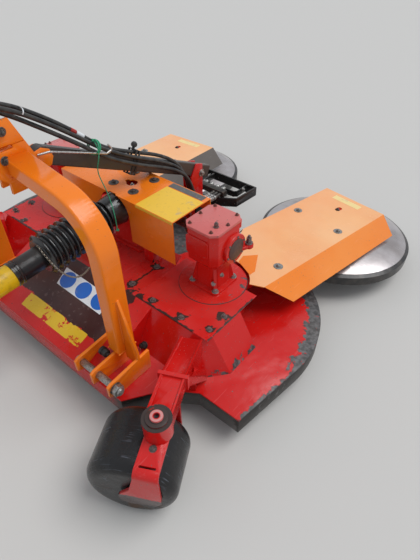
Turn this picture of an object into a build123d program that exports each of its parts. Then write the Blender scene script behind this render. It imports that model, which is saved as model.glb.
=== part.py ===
from build123d import *
from math import atan2, cos, degrees, hypot, radians, sin, sqrt, tan
import os

os.makedirs("parts", exist_ok=True)

# Rear-mounted orchard mulcher with two main rotors and two swing arms.
# Millimetres. The origin is the middle of the top-link pin, the machine's upper hitch point.
# +X is the machine's left side, +Y the rear and +Z up.

# Overall places
floor = -930                # the ground under the castors and skid dishes
rotor_y = 560               # line of the gearboxes and main rotors behind the top-link pin
rotor_x = 475               # each main rotor's axis from the mid-plane

# Deck
sheet = 5                   # sheet steel of the deck and its skirt
deck_top = floor + 153
skirt_h = 80
side_r = 465                # side arc of the deck round the rotor's axis
wing_x = 893                # front corner of the deck's wing
wing_y = rotor_y - 373
deck_rear = rotor_y + side_r
notch_x = 717               # inner front corner of the wing
neck_x = 615                # bend of the edge that runs under the castor arm
neck_y = rotor_y - 438
tongue_x = 520              # half width of the front tongue between the castors
tongue_y = rotor_y - 577    # its front edge

# Raised drive box on the deck
box_top = floor + 302
box_foot_x = 752
box_top_x = 667
box_foot_y = rotor_y - 365
box_top_y = rotor_y - 268
box_rear_y = rotor_y + 40
apron_x = 385               # half width of the sloping apron in front of the box
apron_h = 12                # height of the apron's front edge over the deck
opening_x = 262             # inner side of the swing arm's opening in the box

# Side gearboxes
lid_x = 78
lid_y = 90
lid_cut = 24
lid_t = 12
gear_top = floor + 608
gear_body_h = 135           # the upper casting below its lid
neck_w = 98
flange_w = 150
flange_t = 14
cap_r = 36

# Beam cover over the cross shafts
cover_x = 343
cover_front = rotor_y - 83
cover_rear = rotor_y + 145
cover_top = floor + 578
cover_h = 206
cover_t = 4
pto_h = floor + 500         # height of the input shaft
cross_y = rotor_y + 43      # line of the shafts from the centre gearbox to the side ones
cross_h = floor + 491

# Hitch arch
arch_w = 60
arch_d = 80
arch_x = 430                # outer face of each leg
arch_r = 200                # outer bend
arch_y = rotor_y - 445      # middle of the tube
arch_bend_h = floor + 665
arch_rise = 9               # slope of the top member in degrees
mast_t = 12
mast_gap = 52               # between the two mast plates
top_pin_r = 12.75
link_xs = (310, 400, 490)   # the three link plates on each side
link_t = 12
link_pin_r = 14
link_y = rotor_y - 572
link_h = floor + 205

# Brace from the mast to the rear of the deck
boom_w = 40
boom_d = 62
boom_front = (rotor_y - 312, floor + 833)
boom_rear = (deck_rear + 42, floor + 444)

# Swing arms: u runs along the arm, v outwards, w up from the cover's top face
arm_pitch = 2.8             # the arms fall to the rear
arm_origin_h = floor + 324
arm_len = 1015
cover_v = 178
flap_out = 80
flap_drop = 87
cover_sheet = 4
hub_u = 883                 # the swing rotor's axis
hub_boss_r = 45
hood_r = 389
hood_rim_w = -190
hood_rim_h = 52
neck_clear_r = 152          # round cut of the arm cover round the gearbox
splay_near = 9.0
splay_far = 3.3

# Arm cylinders: from a pin on the deck to a boss under the arm
cyl_x = 82
cyl_y = deck_rear - 45
cyl_h = floor + 205         # height of the cylinder's axis
cyl_eye_t = 22
cyl_barrel_r = 25
cyl_rod_r = 12.5
cyl_barrel_l = 276
cyl_per_degree = 3.2        # what the rod gives for each degree of its arm
lug_u = 190
lug_v = -62
lug_w = -cover_sheet - 62   # underside of the arm's beam

# Castors
castor_x = 778
castor_y = rotor_y - 630
bush_r = 46
bush_h = 70
roller_r = 148
roller_l = 224
roller_trail = 70           # the roller's axis behind the swivel
roller_off = 16             # middle of the roller beside the swivel, along its axis
roller_gap = 8              # between the roller and the strap over it
round_r = 40                # rounding of the roller's ends
strap_t = 10
strap_w = 76
strap_top = floor + 2 * roller_r + roller_gap + strap_t
bush_low = strap_top + 1
castor_top = bush_low + bush_h
castor_turn = -62           # roller axis from +X, as it was parked

clear = 6                   # running clearance between moving pieces


def save(piece, name):
    """Name a finished piece and write it."""
    piece.label = name
    export_step(piece, f"parts/{name}.step")


def loop(points):
    """A closed outline of straight runs in the open sketch."""
    with BuildLine() as line:
        Polyline(*points, close=True)
    make_face(line.edges())


# Deck: one sheet cut to the outline of both rotors, with a skirt round it and open below
tangent = degrees(atan2(wing_y - rotor_y, wing_x - rotor_x))
tangent += degrees(atan2(sqrt(hypot(wing_x - rotor_x, wing_y - rotor_y) ** 2 - side_r**2), side_r))
side_x = rotor_x + side_r * cos(radians(tangent))
side_y = rotor_y + side_r * sin(radians(tangent))
mid_arc = radians((tangent + 90) / 2)
arc_mid_x = rotor_x + side_r * cos(mid_arc)
arc_mid_y = rotor_y + side_r * sin(mid_arc)


def deck_outline():
    """The deck's plan: tongue in front, a wing each side and an arc round each rotor."""
    with BuildLine() as line:
        for s in (1, -1):
            Line((0, tongue_y), (s * tongue_x, tongue_y))
            Polyline(
                (s * tongue_x, tongue_y),
                (s * neck_x, neck_y),
                (s * notch_x, wing_y),
                (s * wing_x, wing_y),
                (s * side_x, side_y),
            )
            ThreePointArc((s * side_x, side_y), (s * arc_mid_x, arc_mid_y), (s * rotor_x, rotor_y + side_r))
            Line((s * rotor_x, rotor_y + side_r), (0, rotor_y + side_r))
    make_face(line.edges())


shaft_hole_r = 50
with BuildPart() as deck:
    with BuildSketch(Plane.XY.offset(deck_top - skirt_h)):
        deck_outline()
    extrude(amount=skirt_h)
    with BuildSketch(Plane.XY.offset(deck_top - skirt_h)) as inside:
        deck_outline()
        offset(amount=-sheet, kind=Kind.INTERSECTION)
    extrude(amount=skirt_h - sheet, mode=Mode.SUBTRACT)
    with BuildSketch(Plane.XY.offset(deck_top)):
        with Locations((rotor_x, rotor_y), (-rotor_x, rotor_y)):
            Circle(shaft_hole_r)
    extrude(amount=-2 * sheet, mode=Mode.SUBTRACT)
save(deck.part, "deck")


# Raised box: sloping walls on the deck that close in the belt drives, open to the rear for the arms
def box_outline(x, front, cut_x, cut_y):
    rear = box_rear_y
    pts = [(x, rear), (x, front + cut_y), (x - cut_x, front)]
    loop(pts + [(-px, py) for px, py in reversed(pts)])


arm_gap_front = rotor_y - 70   # the side wall stops here so that the arm can swing out
with BuildPart() as box_block:
    with BuildSketch(Plane.XY.offset(deck_top)):
        box_outline(box_foot_x, box_foot_y, 110, 130)
    with BuildSketch(Plane.XY.offset(box_top)):
        box_outline(box_top_x, box_top_y, 30, 30)
    loft(ruled=True)

with BuildPart() as drive_box:
    add(box_block.part)
    with BuildSketch(Plane.XY.offset(deck_top)):
        box_outline(box_foot_x - sheet, box_foot_y + sheet, 110, 130)
    with BuildSketch(Plane.XY.offset(box_top - sheet)):
        box_outline(box_top_x - sheet, box_top_y + sheet, 30, 30)
    loft(ruled=True, mode=Mode.SUBTRACT)
    for s in (1, -1):
        with BuildSketch(Plane.XY.offset(deck_top)):
            loop([
                (s * opening_x, box_rear_y - sheet - 1),
                (s * (opening_x + 40), arm_gap_front),
                (s * (box_foot_x + 5), arm_gap_front),
                (s * (box_foot_x + 5), box_rear_y + 1),
                (s * opening_x, box_rear_y + 1),
            ])
        extrude(amount=box_top - deck_top + 1, mode=Mode.SUBTRACT)
    with BuildSketch(Plane.XY.offset(box_top)):
        with Locations((rotor_x, rotor_y - 110), (-rotor_x, rotor_y - 110)):
            Rectangle(2 * 165, 240)
    extrude(amount=-2 * sheet, mode=Mode.SUBTRACT)
save(drive_box.part, "drive_box")

# Top plates: bolted on over the belt drives
plate_t = 4
pivot_tube_r = 60
plate_in_x = 290
with BuildPart() as top_plates:
    for s in (1, -1):
        with BuildSketch(Plane.XY.offset(box_top)):
            loop([
                (s * plate_in_x, box_top_y),
                (s * box_top_x, box_top_y),
                (s * box_top_x, box_rear_y),
                (s * plate_in_x, box_rear_y),
            ])
            with Locations((s * rotor_x, rotor_y)):
                Circle(pivot_tube_r, mode=Mode.SUBTRACT)
        extrude(amount=plate_t)
save(top_plates.part, "top_plates")
plate_top = box_top + plate_t

# Arm pivots: a tube round each main shaft, on which the swing arm turns
with BuildPart() as arm_pivots:
    with BuildSketch(Plane.XY.offset(deck_top)):
        for s in (1, -1):
            with Locations((s * rotor_x, rotor_y)):
                Circle(pivot_tube_r)
                Circle(shaft_hole_r - 6, mode=Mode.SUBTRACT)
    extrude(amount=plate_top - deck_top)
save(arm_pivots.part, "arm_pivots")

# Apron: the sloping sheet between the legs of the arch, with the lip of the tongue
with BuildPart() as apron:
    with BuildSketch(Plane.YZ.offset(-apron_x)):
        loop([
            (tongue_y, deck_top),
            (tongue_y, deck_top + apron_h),
            (box_top_y, box_top),
            (box_top_y + 3, box_top - 6),
            (tongue_y + sheet, deck_top + apron_h - 5),
            (tongue_y + sheet, deck_top),
        ])
    extrude(amount=2 * apron_x)
    for s in (1, -1):
        with BuildSketch(Plane.YZ.offset(s * apron_x)):
            loop([
                (tongue_y, deck_top),
                (tongue_y, deck_top + apron_h),
                (box_top_y, box_top),
                (box_foot_y, deck_top),
            ])
        extrude(amount=-s * sheet)
with BuildPart() as under_apron:
    with BuildSketch(Plane.YZ.offset(-apron_x)):
        loop([(tongue_y, deck_top), (tongue_y, deck_top + apron_h), (box_top_y, box_top), (box_top_y, deck_top)])
    extrude(amount=2 * apron_x)
apron_part = apron.part - box_block.part
save(apron_part, "apron")


# Side gearboxes: a cast angle drive each side on a flanged neck
def octagon(x, y, cut):
    loop([
        (x - cut, -y), (x, -y + cut), (x, y - cut), (x - cut, y),
        (-x + cut, y), (-x, y - cut), (-x, -y + cut), (-x + cut, -y),
    ])


ring_r = 141                # disc under the neck's flange
ring_t = 3
rib_in = 50                 # corner ribs of the neck, from its middle
rib_out = 90
rib_t = 12
pad_w = 84                  # raised pad on the casting's front face
pad_l = 104
pad_t = 5
gear_body_top = gear_top - lid_t
pad_h = gear_body_top - 14 - pad_l / 2
gear_body_low = gear_body_top - gear_body_h
neck_top = gear_body_low - 38
for s, side in ((1, "left"), (-1, "right")):
    at = Plane(origin=(s * rotor_x, rotor_y, 0), x_dir=(1, 0, 0), z_dir=(0, 0, 1))
    with BuildPart() as gearbox:
        with BuildSketch(at.offset(gear_body_low)):
            octagon(lid_x - 3, lid_y - 3, lid_cut)
        extrude(amount=gear_body_h)
        with BuildSketch(at.offset(neck_top)):
            octagon(neck_w / 2 + 4, neck_w / 2 + 8, 20)
        with BuildSketch(at.offset(gear_body_low)):
            octagon(lid_x - 3, lid_y - 3, lid_cut)
        loft(ruled=True)
        with BuildSketch(at.offset(plate_top + flange_t)):
            octagon(neck_w / 2 + 6, neck_w / 2 + 6, 20)
        with BuildSketch(at.offset(neck_top)):
            octagon(neck_w / 2 + 4, neck_w / 2 + 8, 20)
        loft(ruled=True)
        with BuildSketch(at.offset(plate_top)):
            RectangleRounded(flange_w, flange_w, 16)
        extrude(amount=flange_t)
        with BuildSketch(at.offset(plate_top)):
            Circle(ring_r)
        extrude(amount=ring_t)
        for corner in (45, 135, 225, 315):
            out_dir = (cos(radians(corner)), sin(radians(corner)), 0)
            rib = Plane(origin=at.origin, x_dir=out_dir, z_dir=(out_dir[1], -out_dir[0], 0))
            with BuildSketch(rib):
                loop([
                    (rib_in, plate_top + flange_t - 1), (rib_out, plate_top + flange_t - 1),
                    (rib_out - 4, plate_top + flange_t + 8), (rib_in + 14, neck_top - 6), (rib_in, neck_top - 6),
                ])
            extrude(amount=rib_t / 2, both=True)
        with BuildSketch(Plane(origin=(s * (rotor_x - 6), rotor_y - lid_y + 6, pad_h), z_dir=(0, -1, 0))):
            RectangleRounded(pad_w, pad_l, 12)
        extrude(amount=3 + pad_t)
        with BuildSketch(at.offset(gear_body_top - 22)):
            with Locations((s * 40, lid_y + 8)):
                Circle(16)
        extrude(amount=-30)
        with BuildSketch(Plane(origin=(s * (rotor_x + 20), cross_y, cross_h), z_dir=(s, 0, 0))):
            Circle(cap_r + 12)
        extrude(amount=lid_x - 14)
        with BuildSketch(Plane(origin=(s * (rotor_x - 20), cross_y, cross_h), z_dir=(-s, 0, 0))):
            Circle(cap_r + 12)
        extrude(amount=lid_x - 14)
    save(gearbox.part, f"gearbox_{side}")

with BuildPart() as gear_lids:
    for s in (1, -1):
        with BuildSketch(Plane(origin=(s * rotor_x, rotor_y, gear_body_top), x_dir=(1, 0, 0), z_dir=(0, 0, 1))):
            octagon(lid_x, lid_y, lid_cut)
        extrude(amount=lid_t)
save(gear_lids.part, "gearbox_lids")

with BuildPart() as gear_caps:
    for s in (1, -1):
        with BuildSketch(Plane(origin=(s * (rotor_x + lid_x + 6), cross_y, cross_h), z_dir=(s, 0, 0))):
            Circle(cap_r)
        extrude(amount=5)
save(gear_caps.part, "gearbox_caps")

# Centre gearbox: the tee drive under the cover that turns the input shaft to both sides
centre_w = 170
centre_l = 190
with BuildPart() as centre_gearbox:
    with BuildSketch(Plane.XY.offset(box_top)):
        with Locations((0, rotor_y + 31)):
            RectangleRounded(centre_w + 40, centre_l, 14)
    extrude(amount=14)
    with BuildSketch(Plane.XY.offset(box_top + 14)):
        with Locations((0, rotor_y + 31)):
            RectangleRounded(centre_w, centre_l - 30, 26)
    extrude(amount=cover_top - cover_t - 20 - box_top - 14)
    with BuildSketch(Plane(origin=(0, rotor_y + 31 - (centre_l - 30) / 2, pto_h), z_dir=(0, -1, 0))):
        Circle(62)
    extrude(amount=20)
save(centre_gearbox.part, "centre_gearbox")

# Cross shafts: the couplings between the centre gearbox and the side gearboxes
shaft_r = 20
coupling_r = 34
with BuildPart() as cross_shafts:
    for s in (1, -1):
        start = Plane(origin=(s * centre_w / 2, cross_y, cross_h), z_dir=(s, 0, 0))
        run = rotor_x - lid_x - 6 - centre_w / 2
        with BuildSketch(start):
            Circle(shaft_r)
        extrude(amount=run)
        with BuildSketch(start.offset(run - 70)):
            Circle(coupling_r)
        extrude(amount=52)
save(cross_shafts.part, "cross_shafts")

# Beam cover: folded sheet over the cross shafts with an arch cut for the input shaft
arch_cut_r = 90
with BuildPart() as beam_cover:
    with BuildSketch(Plane.YZ.offset(-cover_x)):
        low = cover_top - cover_h
        rear_low = cover_top - 60
        loop([
            (cover_front, low), (cover_front, cover_top), (cover_rear, cover_top), (cover_rear, rear_low),
            (cover_rear - cover_t, rear_low), (cover_rear - cover_t, cover_top - cover_t),
            (cover_front + cover_t, cover_top - cover_t), (cover_front + cover_t, low),
        ])
    extrude(amount=2 * cover_x)
    with BuildSketch(Plane(origin=(0, cover_front, 0), x_dir=(1, 0, 0), z_dir=(0, -1, 0))):
        with Locations((0, pto_h - 10)):
            Circle(arch_cut_r)
        with Locations((0, cover_top - cover_h + (pto_h - 10 - cover_top + cover_h) / 2 - 1)):
            Rectangle(2 * arch_cut_r, pto_h - 10 - cover_top + cover_h + 2)
    extrude(amount=2 * cover_t, both=True, mode=Mode.SUBTRACT)
    with BuildSketch(Plane.XY.offset(cover_top)):
        with Locations((0, rotor_y + 31)):
            Circle(24)
            with Locations((-26, 0)):
                Circle(11)
    extrude(amount=-2 * cover_t, mode=Mode.SUBTRACT)
save(beam_cover.part, "beam_cover")

# Feet that carry the beam cover on the box
with BuildPart() as cover_feet:
    for s in (1, -1):
        with BuildSketch(Plane.XY.offset(box_top)):
            with Locations((s * 180, cover_front + 31)):
                Rectangle(60, 50)
        extrude(amount=6)
        with BuildSketch(Plane.XY.offset(box_top + 6)):
            with Locations((s * 180, cover_front + cover_t + 4)):
                Rectangle(50, 8)
        extrude(amount=100)
save(cover_feet.part, "cover_feet")


# Hitch arch: a rectangular tube bent into two legs, with its top member rising to the mast
arch_axis_x = arch_x - arch_w / 2
bend_r = arch_r - arch_w / 2
bend_x = arch_x - arch_r
rise = radians(arch_rise)
turn_x = bend_x + bend_r * sin(rise)
turn_h = arch_bend_h + bend_r * cos(rise)
peak_h = turn_h + turn_x * tan(rise)
leg_low = floor + 250
with BuildPart() as arch:
    for s in (1, -1):
        with BuildLine(Plane.XZ.offset(-arch_y)) as spine:
            Line((s * arch_axis_x, leg_low), (s * arch_axis_x, arch_bend_h))
            ThreePointArc(
                (s * arch_axis_x, arch_bend_h),
                (s * (bend_x + bend_r * sin(radians(50))), arch_bend_h + bend_r * cos(radians(50))),
                (s * turn_x, turn_h),
            )
            Line((s * turn_x, turn_h), (0, peak_h))
        with BuildSketch(Plane(origin=(s * arch_axis_x, arch_y, leg_low), x_dir=(1, 0, 0), z_dir=(0, 0, 1))):
            RectangleRounded(arch_w, arch_d, 9)
        sweep(path=spine.wire())
save(arch.part, "hitch_arch")

# Mast plates: a pair with the top-link bore and a row of slots
mast_outline = [
    (rotor_y - 380, floor + 871), (rotor_y - 437, floor + 1009), (rotor_y - 560, floor + 1000),
    (rotor_y - 612, floor + 960), (rotor_y - 612, floor + 905), (rotor_y - 560, floor + 880),
    (rotor_y - 522, floor + 841), (rotor_y - 491, floor + 810), (rotor_y - 493, floor + 774),
    (rotor_y - 405, floor + 774),
]
with BuildPart() as mast:
    for s in (1, -1):
        with BuildSketch(Plane.YZ.offset(s * mast_gap / 2)):
            loop(mast_outline)
            with Locations((0, 0)):
                Circle(top_pin_r, mode=Mode.SUBTRACT)
            with Locations((rotor_y - 478, floor + 925)):
                SlotOverall(62, 16, mode=Mode.SUBTRACT)
        extrude(amount=s * mast_t)
    with BuildSketch(Plane.XY.offset(0)):
        with Locations((0, arch_y)):
            Rectangle(mast_gap + 2 * mast_t + 2, arch_d + 2)
    extrude(amount=-1, both=True, mode=Mode.SUBTRACT)
mast_part = mast.part - arch.part
save(mast_part, "mast_plates")

# Link plates: three to a side under each leg, welded between apron and leg, and a tall gusset
# from the outer plate up the side of the leg
gusset_y = rotor_y - 446
gusset_t = 10
gusset_low = floor + 281
gusset_top = floor + 505
with BuildPart() as link_plates:
    for s in (1, -1):
        for x in link_xs:
            with BuildSketch(Plane.YZ.offset(s * x - link_t / 2)):
                loop([
                    (rotor_y - 600, floor + 176), (rotor_y - 600, floor + 226), (rotor_y - 585, floor + 234),
                    (rotor_y - 400, floor + 250), (rotor_y - 400, deck_top), (rotor_y - 540, deck_top),
                ])
                with Locations((link_y, link_h)):
                    Circle(link_pin_r + 0.2, mode=Mode.SUBTRACT)
            extrude(amount=link_t)
        with BuildSketch(Plane(origin=(0, gusset_y, 0), x_dir=(1, 0, 0), z_dir=(0, -1, 0))):
            outer = link_xs[2] + link_t / 2
            loop([
                (s * arch_x, deck_top + 60), (s * outer, deck_top + 60), (s * outer, gusset_low),
                (s * (arch_x + 4), gusset_top), (s * arch_x, gusset_top),
            ])
        extrude(amount=gusset_t)
link_plates_part = link_plates.part - under_apron.part
save(link_plates_part, "link_plates")

for s, side in ((1, "left"), (-1, "right")):
    with BuildPart() as link_pin:
        with BuildSketch(Plane(origin=(s * (link_xs[0] - 22), link_y, link_h), z_dir=(s, 0, 0))):
            Circle(link_pin_r)
        extrude(amount=link_xs[2] - link_xs[0] + 60)
        with BuildSketch(Plane(origin=(s * (link_xs[2] + 10), link_y, link_h), z_dir=(s, 0, 0))):
            RegularPolygon(24, 6)
        extrude(amount=20)
    save(link_pin.part, f"link_pin_{side}")

# Brace: a rectangular tube from lugs behind the mast down to the rear of the deck
boom_len = hypot(boom_rear[0] - boom_front[0], boom_rear[1] - boom_front[1])
boom_dir = (0, (boom_rear[0] - boom_front[0]) / boom_len, (boom_rear[1] - boom_front[1]) / boom_len)
with BuildPart() as boom:
    with BuildSketch(Plane(origin=(0, boom_front[0] - 40, boom_front[1] + 19), x_dir=(1, 0, 0), z_dir=boom_dir)):
        RectangleRounded(boom_w, boom_d, 6)
    extrude(amount=boom_len + 60)
save(boom.part, "brace")

with BuildPart() as brace_lugs:
    for s in (1, -1):
        with BuildSketch(Plane.YZ.offset(s * boom_w / 2)):
            loop([
                (rotor_y - 404, floor + 830), (rotor_y - 404, floor + 868), (rotor_y - 330, floor + 880),
                (rotor_y - 268, floor + 848), (rotor_y - 262, floor + 800), (rotor_y - 330, floor + 806),
            ])
        extrude(amount=s * (mast_gap - boom_w) / 2)
brace_lugs_part = brace_lugs.part - arch.part
save(brace_lugs_part, "brace_lugs")

upright_y = deck_rear - 35
with BuildPart() as upright:
    for s in (1, -1):
        with BuildSketch(Plane.YZ.offset(s * boom_w / 2)):
            loop([
                (upright_y - 50, deck_top), (upright_y + 35, deck_top),
                (upright_y + 35, floor + 505), (upright_y - 10, floor + 520), (upright_y - 50, floor + 460),
            ])
        extrude(amount=s * 8)
save(upright.part, "rear_upright")

# Rear frame: flat bar box that carries the cylinders and the hose block
frame_h = floor + 250
frame_bar = 8
frame_deep = 50
with BuildPart() as rear_frame:
    with BuildSketch(Plane.XY.offset(frame_h)):
        loop([
            (174, deck_rear + 283), (-174, deck_rear + 283), (-162, deck_rear + 118),
            (-37, deck_rear + 35), (37, deck_rear + 35), (162, deck_rear + 118),
        ])
        offset(amount=-frame_bar, mode=Mode.SUBTRACT)
    extrude(amount=frame_deep)
    for s in (1, -1):
        with BuildSketch(Plane.XY.offset(frame_h)):
            with Locations((s * 32, deck_rear - 10)):
                Rectangle(8, 110)
        extrude(amount=frame_deep)
save(rear_frame.part, "rear_frame")

# Cylinder posts: a pin on a post on the deck for each arm's cylinder
post_pin_r = 12
with BuildPart() as posts:
    for s in (1, -1):
        for r, low, high in (
            (26, deck_top, cyl_h - cyl_eye_t / 2 - 1),
            (post_pin_r, deck_top, cyl_h + cyl_eye_t / 2 + 1),
            (20, cyl_h + cyl_eye_t / 2 + 1, cyl_h + cyl_eye_t / 2 + 9),
        ):
            with BuildSketch(Plane.XY.offset(low)):
                with Locations((s * cyl_x, cyl_y)):
                    Circle(r)
            extrude(amount=high - low)
save(posts.part, "cylinder_posts")

# Hose block: a bar across the rear frame with the three ports of the hoses
block_y = deck_rear + 95
block_deep = 34
hose_d = 16
port_xs = (40, 60, 80)
port_r = hose_d / 2 + 1     # a port is a little thicker than its hose, and clear of the next one
port_h = frame_h + frame_deep + 16
port_y = deck_rear + 35     # the hoses leave here, towards the front
with BuildPart() as hose_block:
    with BuildSketch(Plane.XY.offset(frame_h + frame_deep)):
        with Locations((0, block_y)):
            Rectangle(2 * 100, block_deep)
    extrude(amount=32)
    with BuildSketch(Plane(origin=(0, port_y, port_h), x_dir=(1, 0, 0), z_dir=(0, -1, 0))):
        with Locations([(x, 0) for x in port_xs]):
            Circle(port_r)
    extrude(amount=-(block_y - port_y))
save(hose_block.part, "hose_block")

# Coupler holder: a plate on the mast's front that keeps the three quick couplers
holder_y = rotor_y - 583
holder_h = floor + 1088
holder_t = 8
holder_low = 38             # above the ball end of the top link
coupler_xs = (0, 34, -34)
coupler_r = 17
hose_end_y = rotor_y - 560
with BuildPart() as holder:
    with BuildSketch(Plane(origin=(0, holder_y, 0), x_dir=(-1, 0, 0), z_dir=(0, 1, 0))):
        loop([
            (-mast_gap / 2, holder_low), (mast_gap / 2, holder_low), (mast_gap / 2, floor + 1000),
            (62, holder_h - 28), (62, holder_h + 26), (-62, holder_h + 26), (-62, holder_h - 28),
            (-mast_gap / 2, floor + 1000),
        ])
        with Locations([(x, holder_h) for x in coupler_xs]):
            Circle(coupler_r - 4, mode=Mode.SUBTRACT)
    extrude(amount=holder_t)
save(holder.part, "coupler_holder")

with BuildPart() as couplers:
    for x in coupler_xs:
        for r, front, rear in (
            (13, holder_y + holder_t + 15, holder_y), (coupler_r, holder_y, holder_y - 46),
            (12, holder_y - 46, holder_y - 62),
        ):
            with BuildSketch(Plane(origin=(x, front, holder_h), x_dir=(1, 0, 0), z_dir=(0, -1, 0))):
                Circle(r)
            extrude(amount=front - rear)
save(couplers.part, "quick_couplers")

# Hoses and twine: each route is a list of points (x, y behind the gearbox line, height over the ground)
twine_d = 4
routes = {
    "hose_upper": (hose_d, [
        (40, 500, 316), (40, 410, 318), (40, 352, 400), (34, 330, 500), (30, 280, 586), (14, 190, 650),
        (8, 60, 708), (6, -90, 779), (4, -190, 872), (2, -300, 962), (0, -430, 1046), (0, -560, 1088),
    ]),
    "hose_middle": (hose_d, [
        (60, 500, 316), (60, 408, 320), (57, 350, 400), (50, 326, 497), (44, 272, 572), (34, 180, 630),
        (30, 55, 690), (26, -95, 777), (24, -195, 860), (22, -305, 948), (28, -432, 1036), (34, -560, 1088),
    ]),
    "hose_lower": (hose_d, [
        (80, 500, 316), (80, 406, 322), (74, 348, 402), (66, 322, 495), (58, 262, 560), (48, 170, 610),
        (44, 50, 665), (38, -100, 752), (34, -200, 838), (20, -310, 924), (-10, -432, 1016), (-34, -560, 1088),
    ]),
    "twine": (twine_d, [
        (24, -140, 830), (44, -146, 825), (60, -152, 802), (59, -158, 775), (47, -160, 747), (35, -155, 713),
        (30, -144, 676), (33, -132, 632), (37, -125, 592), (47, -127, 562), (63, -134, 534), (73, -139, 498),
        (75, -141, 462),
    ]),
}


def route_radii(points):
    """The arc at each corner: as large as its two runs allow."""
    radii = []
    for before, here, after in zip(points, points[1:], points[2:]):
        come = Vector(*here) - Vector(*before)
        go = Vector(*after) - Vector(*here)
        half_turn = radians(come.get_angle(go)) / 2
        radii.append(0.45 * min(come.length, go.length) / tan(half_turn))
    return radii


for name, (diameter, points) in routes.items():
    placed = [(x, rotor_y + y, floor + h) for x, y, h in points]
    radii = route_radii(placed)
    start, second = Vector(*placed[0]), Vector(*placed[1])
    with BuildPart() as cord:
        with BuildLine() as path:
            FilletPolyline(*placed, radius=radii)
        with BuildSketch(Plane(origin=start, z_dir=(second - start).normalized())):
            Circle(diameter / 2)
        sweep(path=path.wire())
    cord_part = cord.part - hose_block.part - couplers.part
    save(cord_part, name)

# Hose rod: a bent wire from the brace's front that carries the hoses
rod_r = 4
with BuildPart() as hose_rod:
    with BuildLine() as wire:
        FilletPolyline(
            (mast_gap / 2 + rod_r, rotor_y - 372, floor + 864), (44, rotor_y - 335, floor + 866),
            (52, rotor_y - 112, floor + 780), (52, rotor_y - 82, floor + 788), (50, rotor_y - 100, floor + 810),
            radius=[14, 12, 8],
        )
    with BuildSketch(Plane(origin=wire.wire() @ 0, z_dir=wire.wire() % 0)):
        Circle(rod_r)
    sweep(path=wire.wire())
save(hose_rod.part, "hose_rod")


# Input shaft: guard cone, bellows, guard tubes and the tractor-end yoke
pto_fall = 4
pto_dir = (0, -cos(radians(pto_fall)), -sin(radians(pto_fall)))


def pto_plane(run):
    """A plane across the shaft, so far in front of the cover's front face."""
    y = cover_front - 20 + pto_dir[1] * run
    z = pto_h - 2 + pto_dir[2] * run
    return Plane(origin=(0, y, z), x_dir=(1, 0, 0), z_dir=pto_dir)


def pto_turned(profile, run):
    """A turned piece about the shaft from (distance, radius) pairs."""
    base = pto_plane(run)
    with BuildSketch(Plane(origin=base.origin, x_dir=pto_dir, z_dir=(1, 0, 0))) as half:
        loop(profile)
    revolve(half.sketch, axis=Axis(base.origin, pto_dir))


with BuildPart() as guard_cone:
    with BuildSketch(Plane(origin=(0, rotor_y - 49 - 20.3, pto_h), z_dir=(0, -1, 0))):
        Circle(72)
    with BuildSketch(Plane(origin=(0, cover_front - 60, pto_h), z_dir=(0, -1, 0))):
        Circle(60)
    loft()
save(guard_cone.part, "input_guard")

bellows_n = 9
bellows_l = 205
tube_r = 38
with BuildPart() as bellows:
    ring = bellows_l / bellows_n
    outline = [(0, tube_r)]
    for i in range(bellows_n):
        outline += [(ring * i, 70), (ring * (i + 0.5), 84)]
    outline += [(bellows_l, 70), (bellows_l, tube_r)]
    pto_turned(outline, 50)
save(bellows.part, "bellows_guard")

shaft_tube_r = 24
with BuildPart() as guard_tube:
    with BuildSketch(pto_plane(50)):
        Circle(tube_r)
        Circle(shaft_tube_r, mode=Mode.SUBTRACT)
    extrude(amount=bellows_l + 150)
save(guard_tube.part, "guard_tube")

with BuildPart() as guard_sleeve:
    with BuildSketch(pto_plane(50 + bellows_l + 90)):
        Circle(46)
        Circle(tube_r, mode=Mode.SUBTRACT)
    extrude(amount=60)
    with BuildSketch(pto_plane(50 + bellows_l + 150)):
        Circle(46)
        Circle(shaft_tube_r, mode=Mode.SUBTRACT)
    extrude(amount=370)
save(guard_sleeve.part, "guard_sleeve")

with BuildPart() as shaft_tube:
    with BuildSketch(pto_plane(36)):
        Circle(shaft_tube_r)
    extrude(amount=bellows_l + 574)
shaft_tube_part = shaft_tube.part - guard_cone.part
save(shaft_tube_part, "shaft_tube")

with BuildPart() as yoke:
    with BuildSketch(pto_plane(bellows_l + 610)):
        Circle(34)
        Circle(17.5, mode=Mode.SUBTRACT)
    extrude(amount=80)
save(yoke.part, "tractor_yoke")


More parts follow.
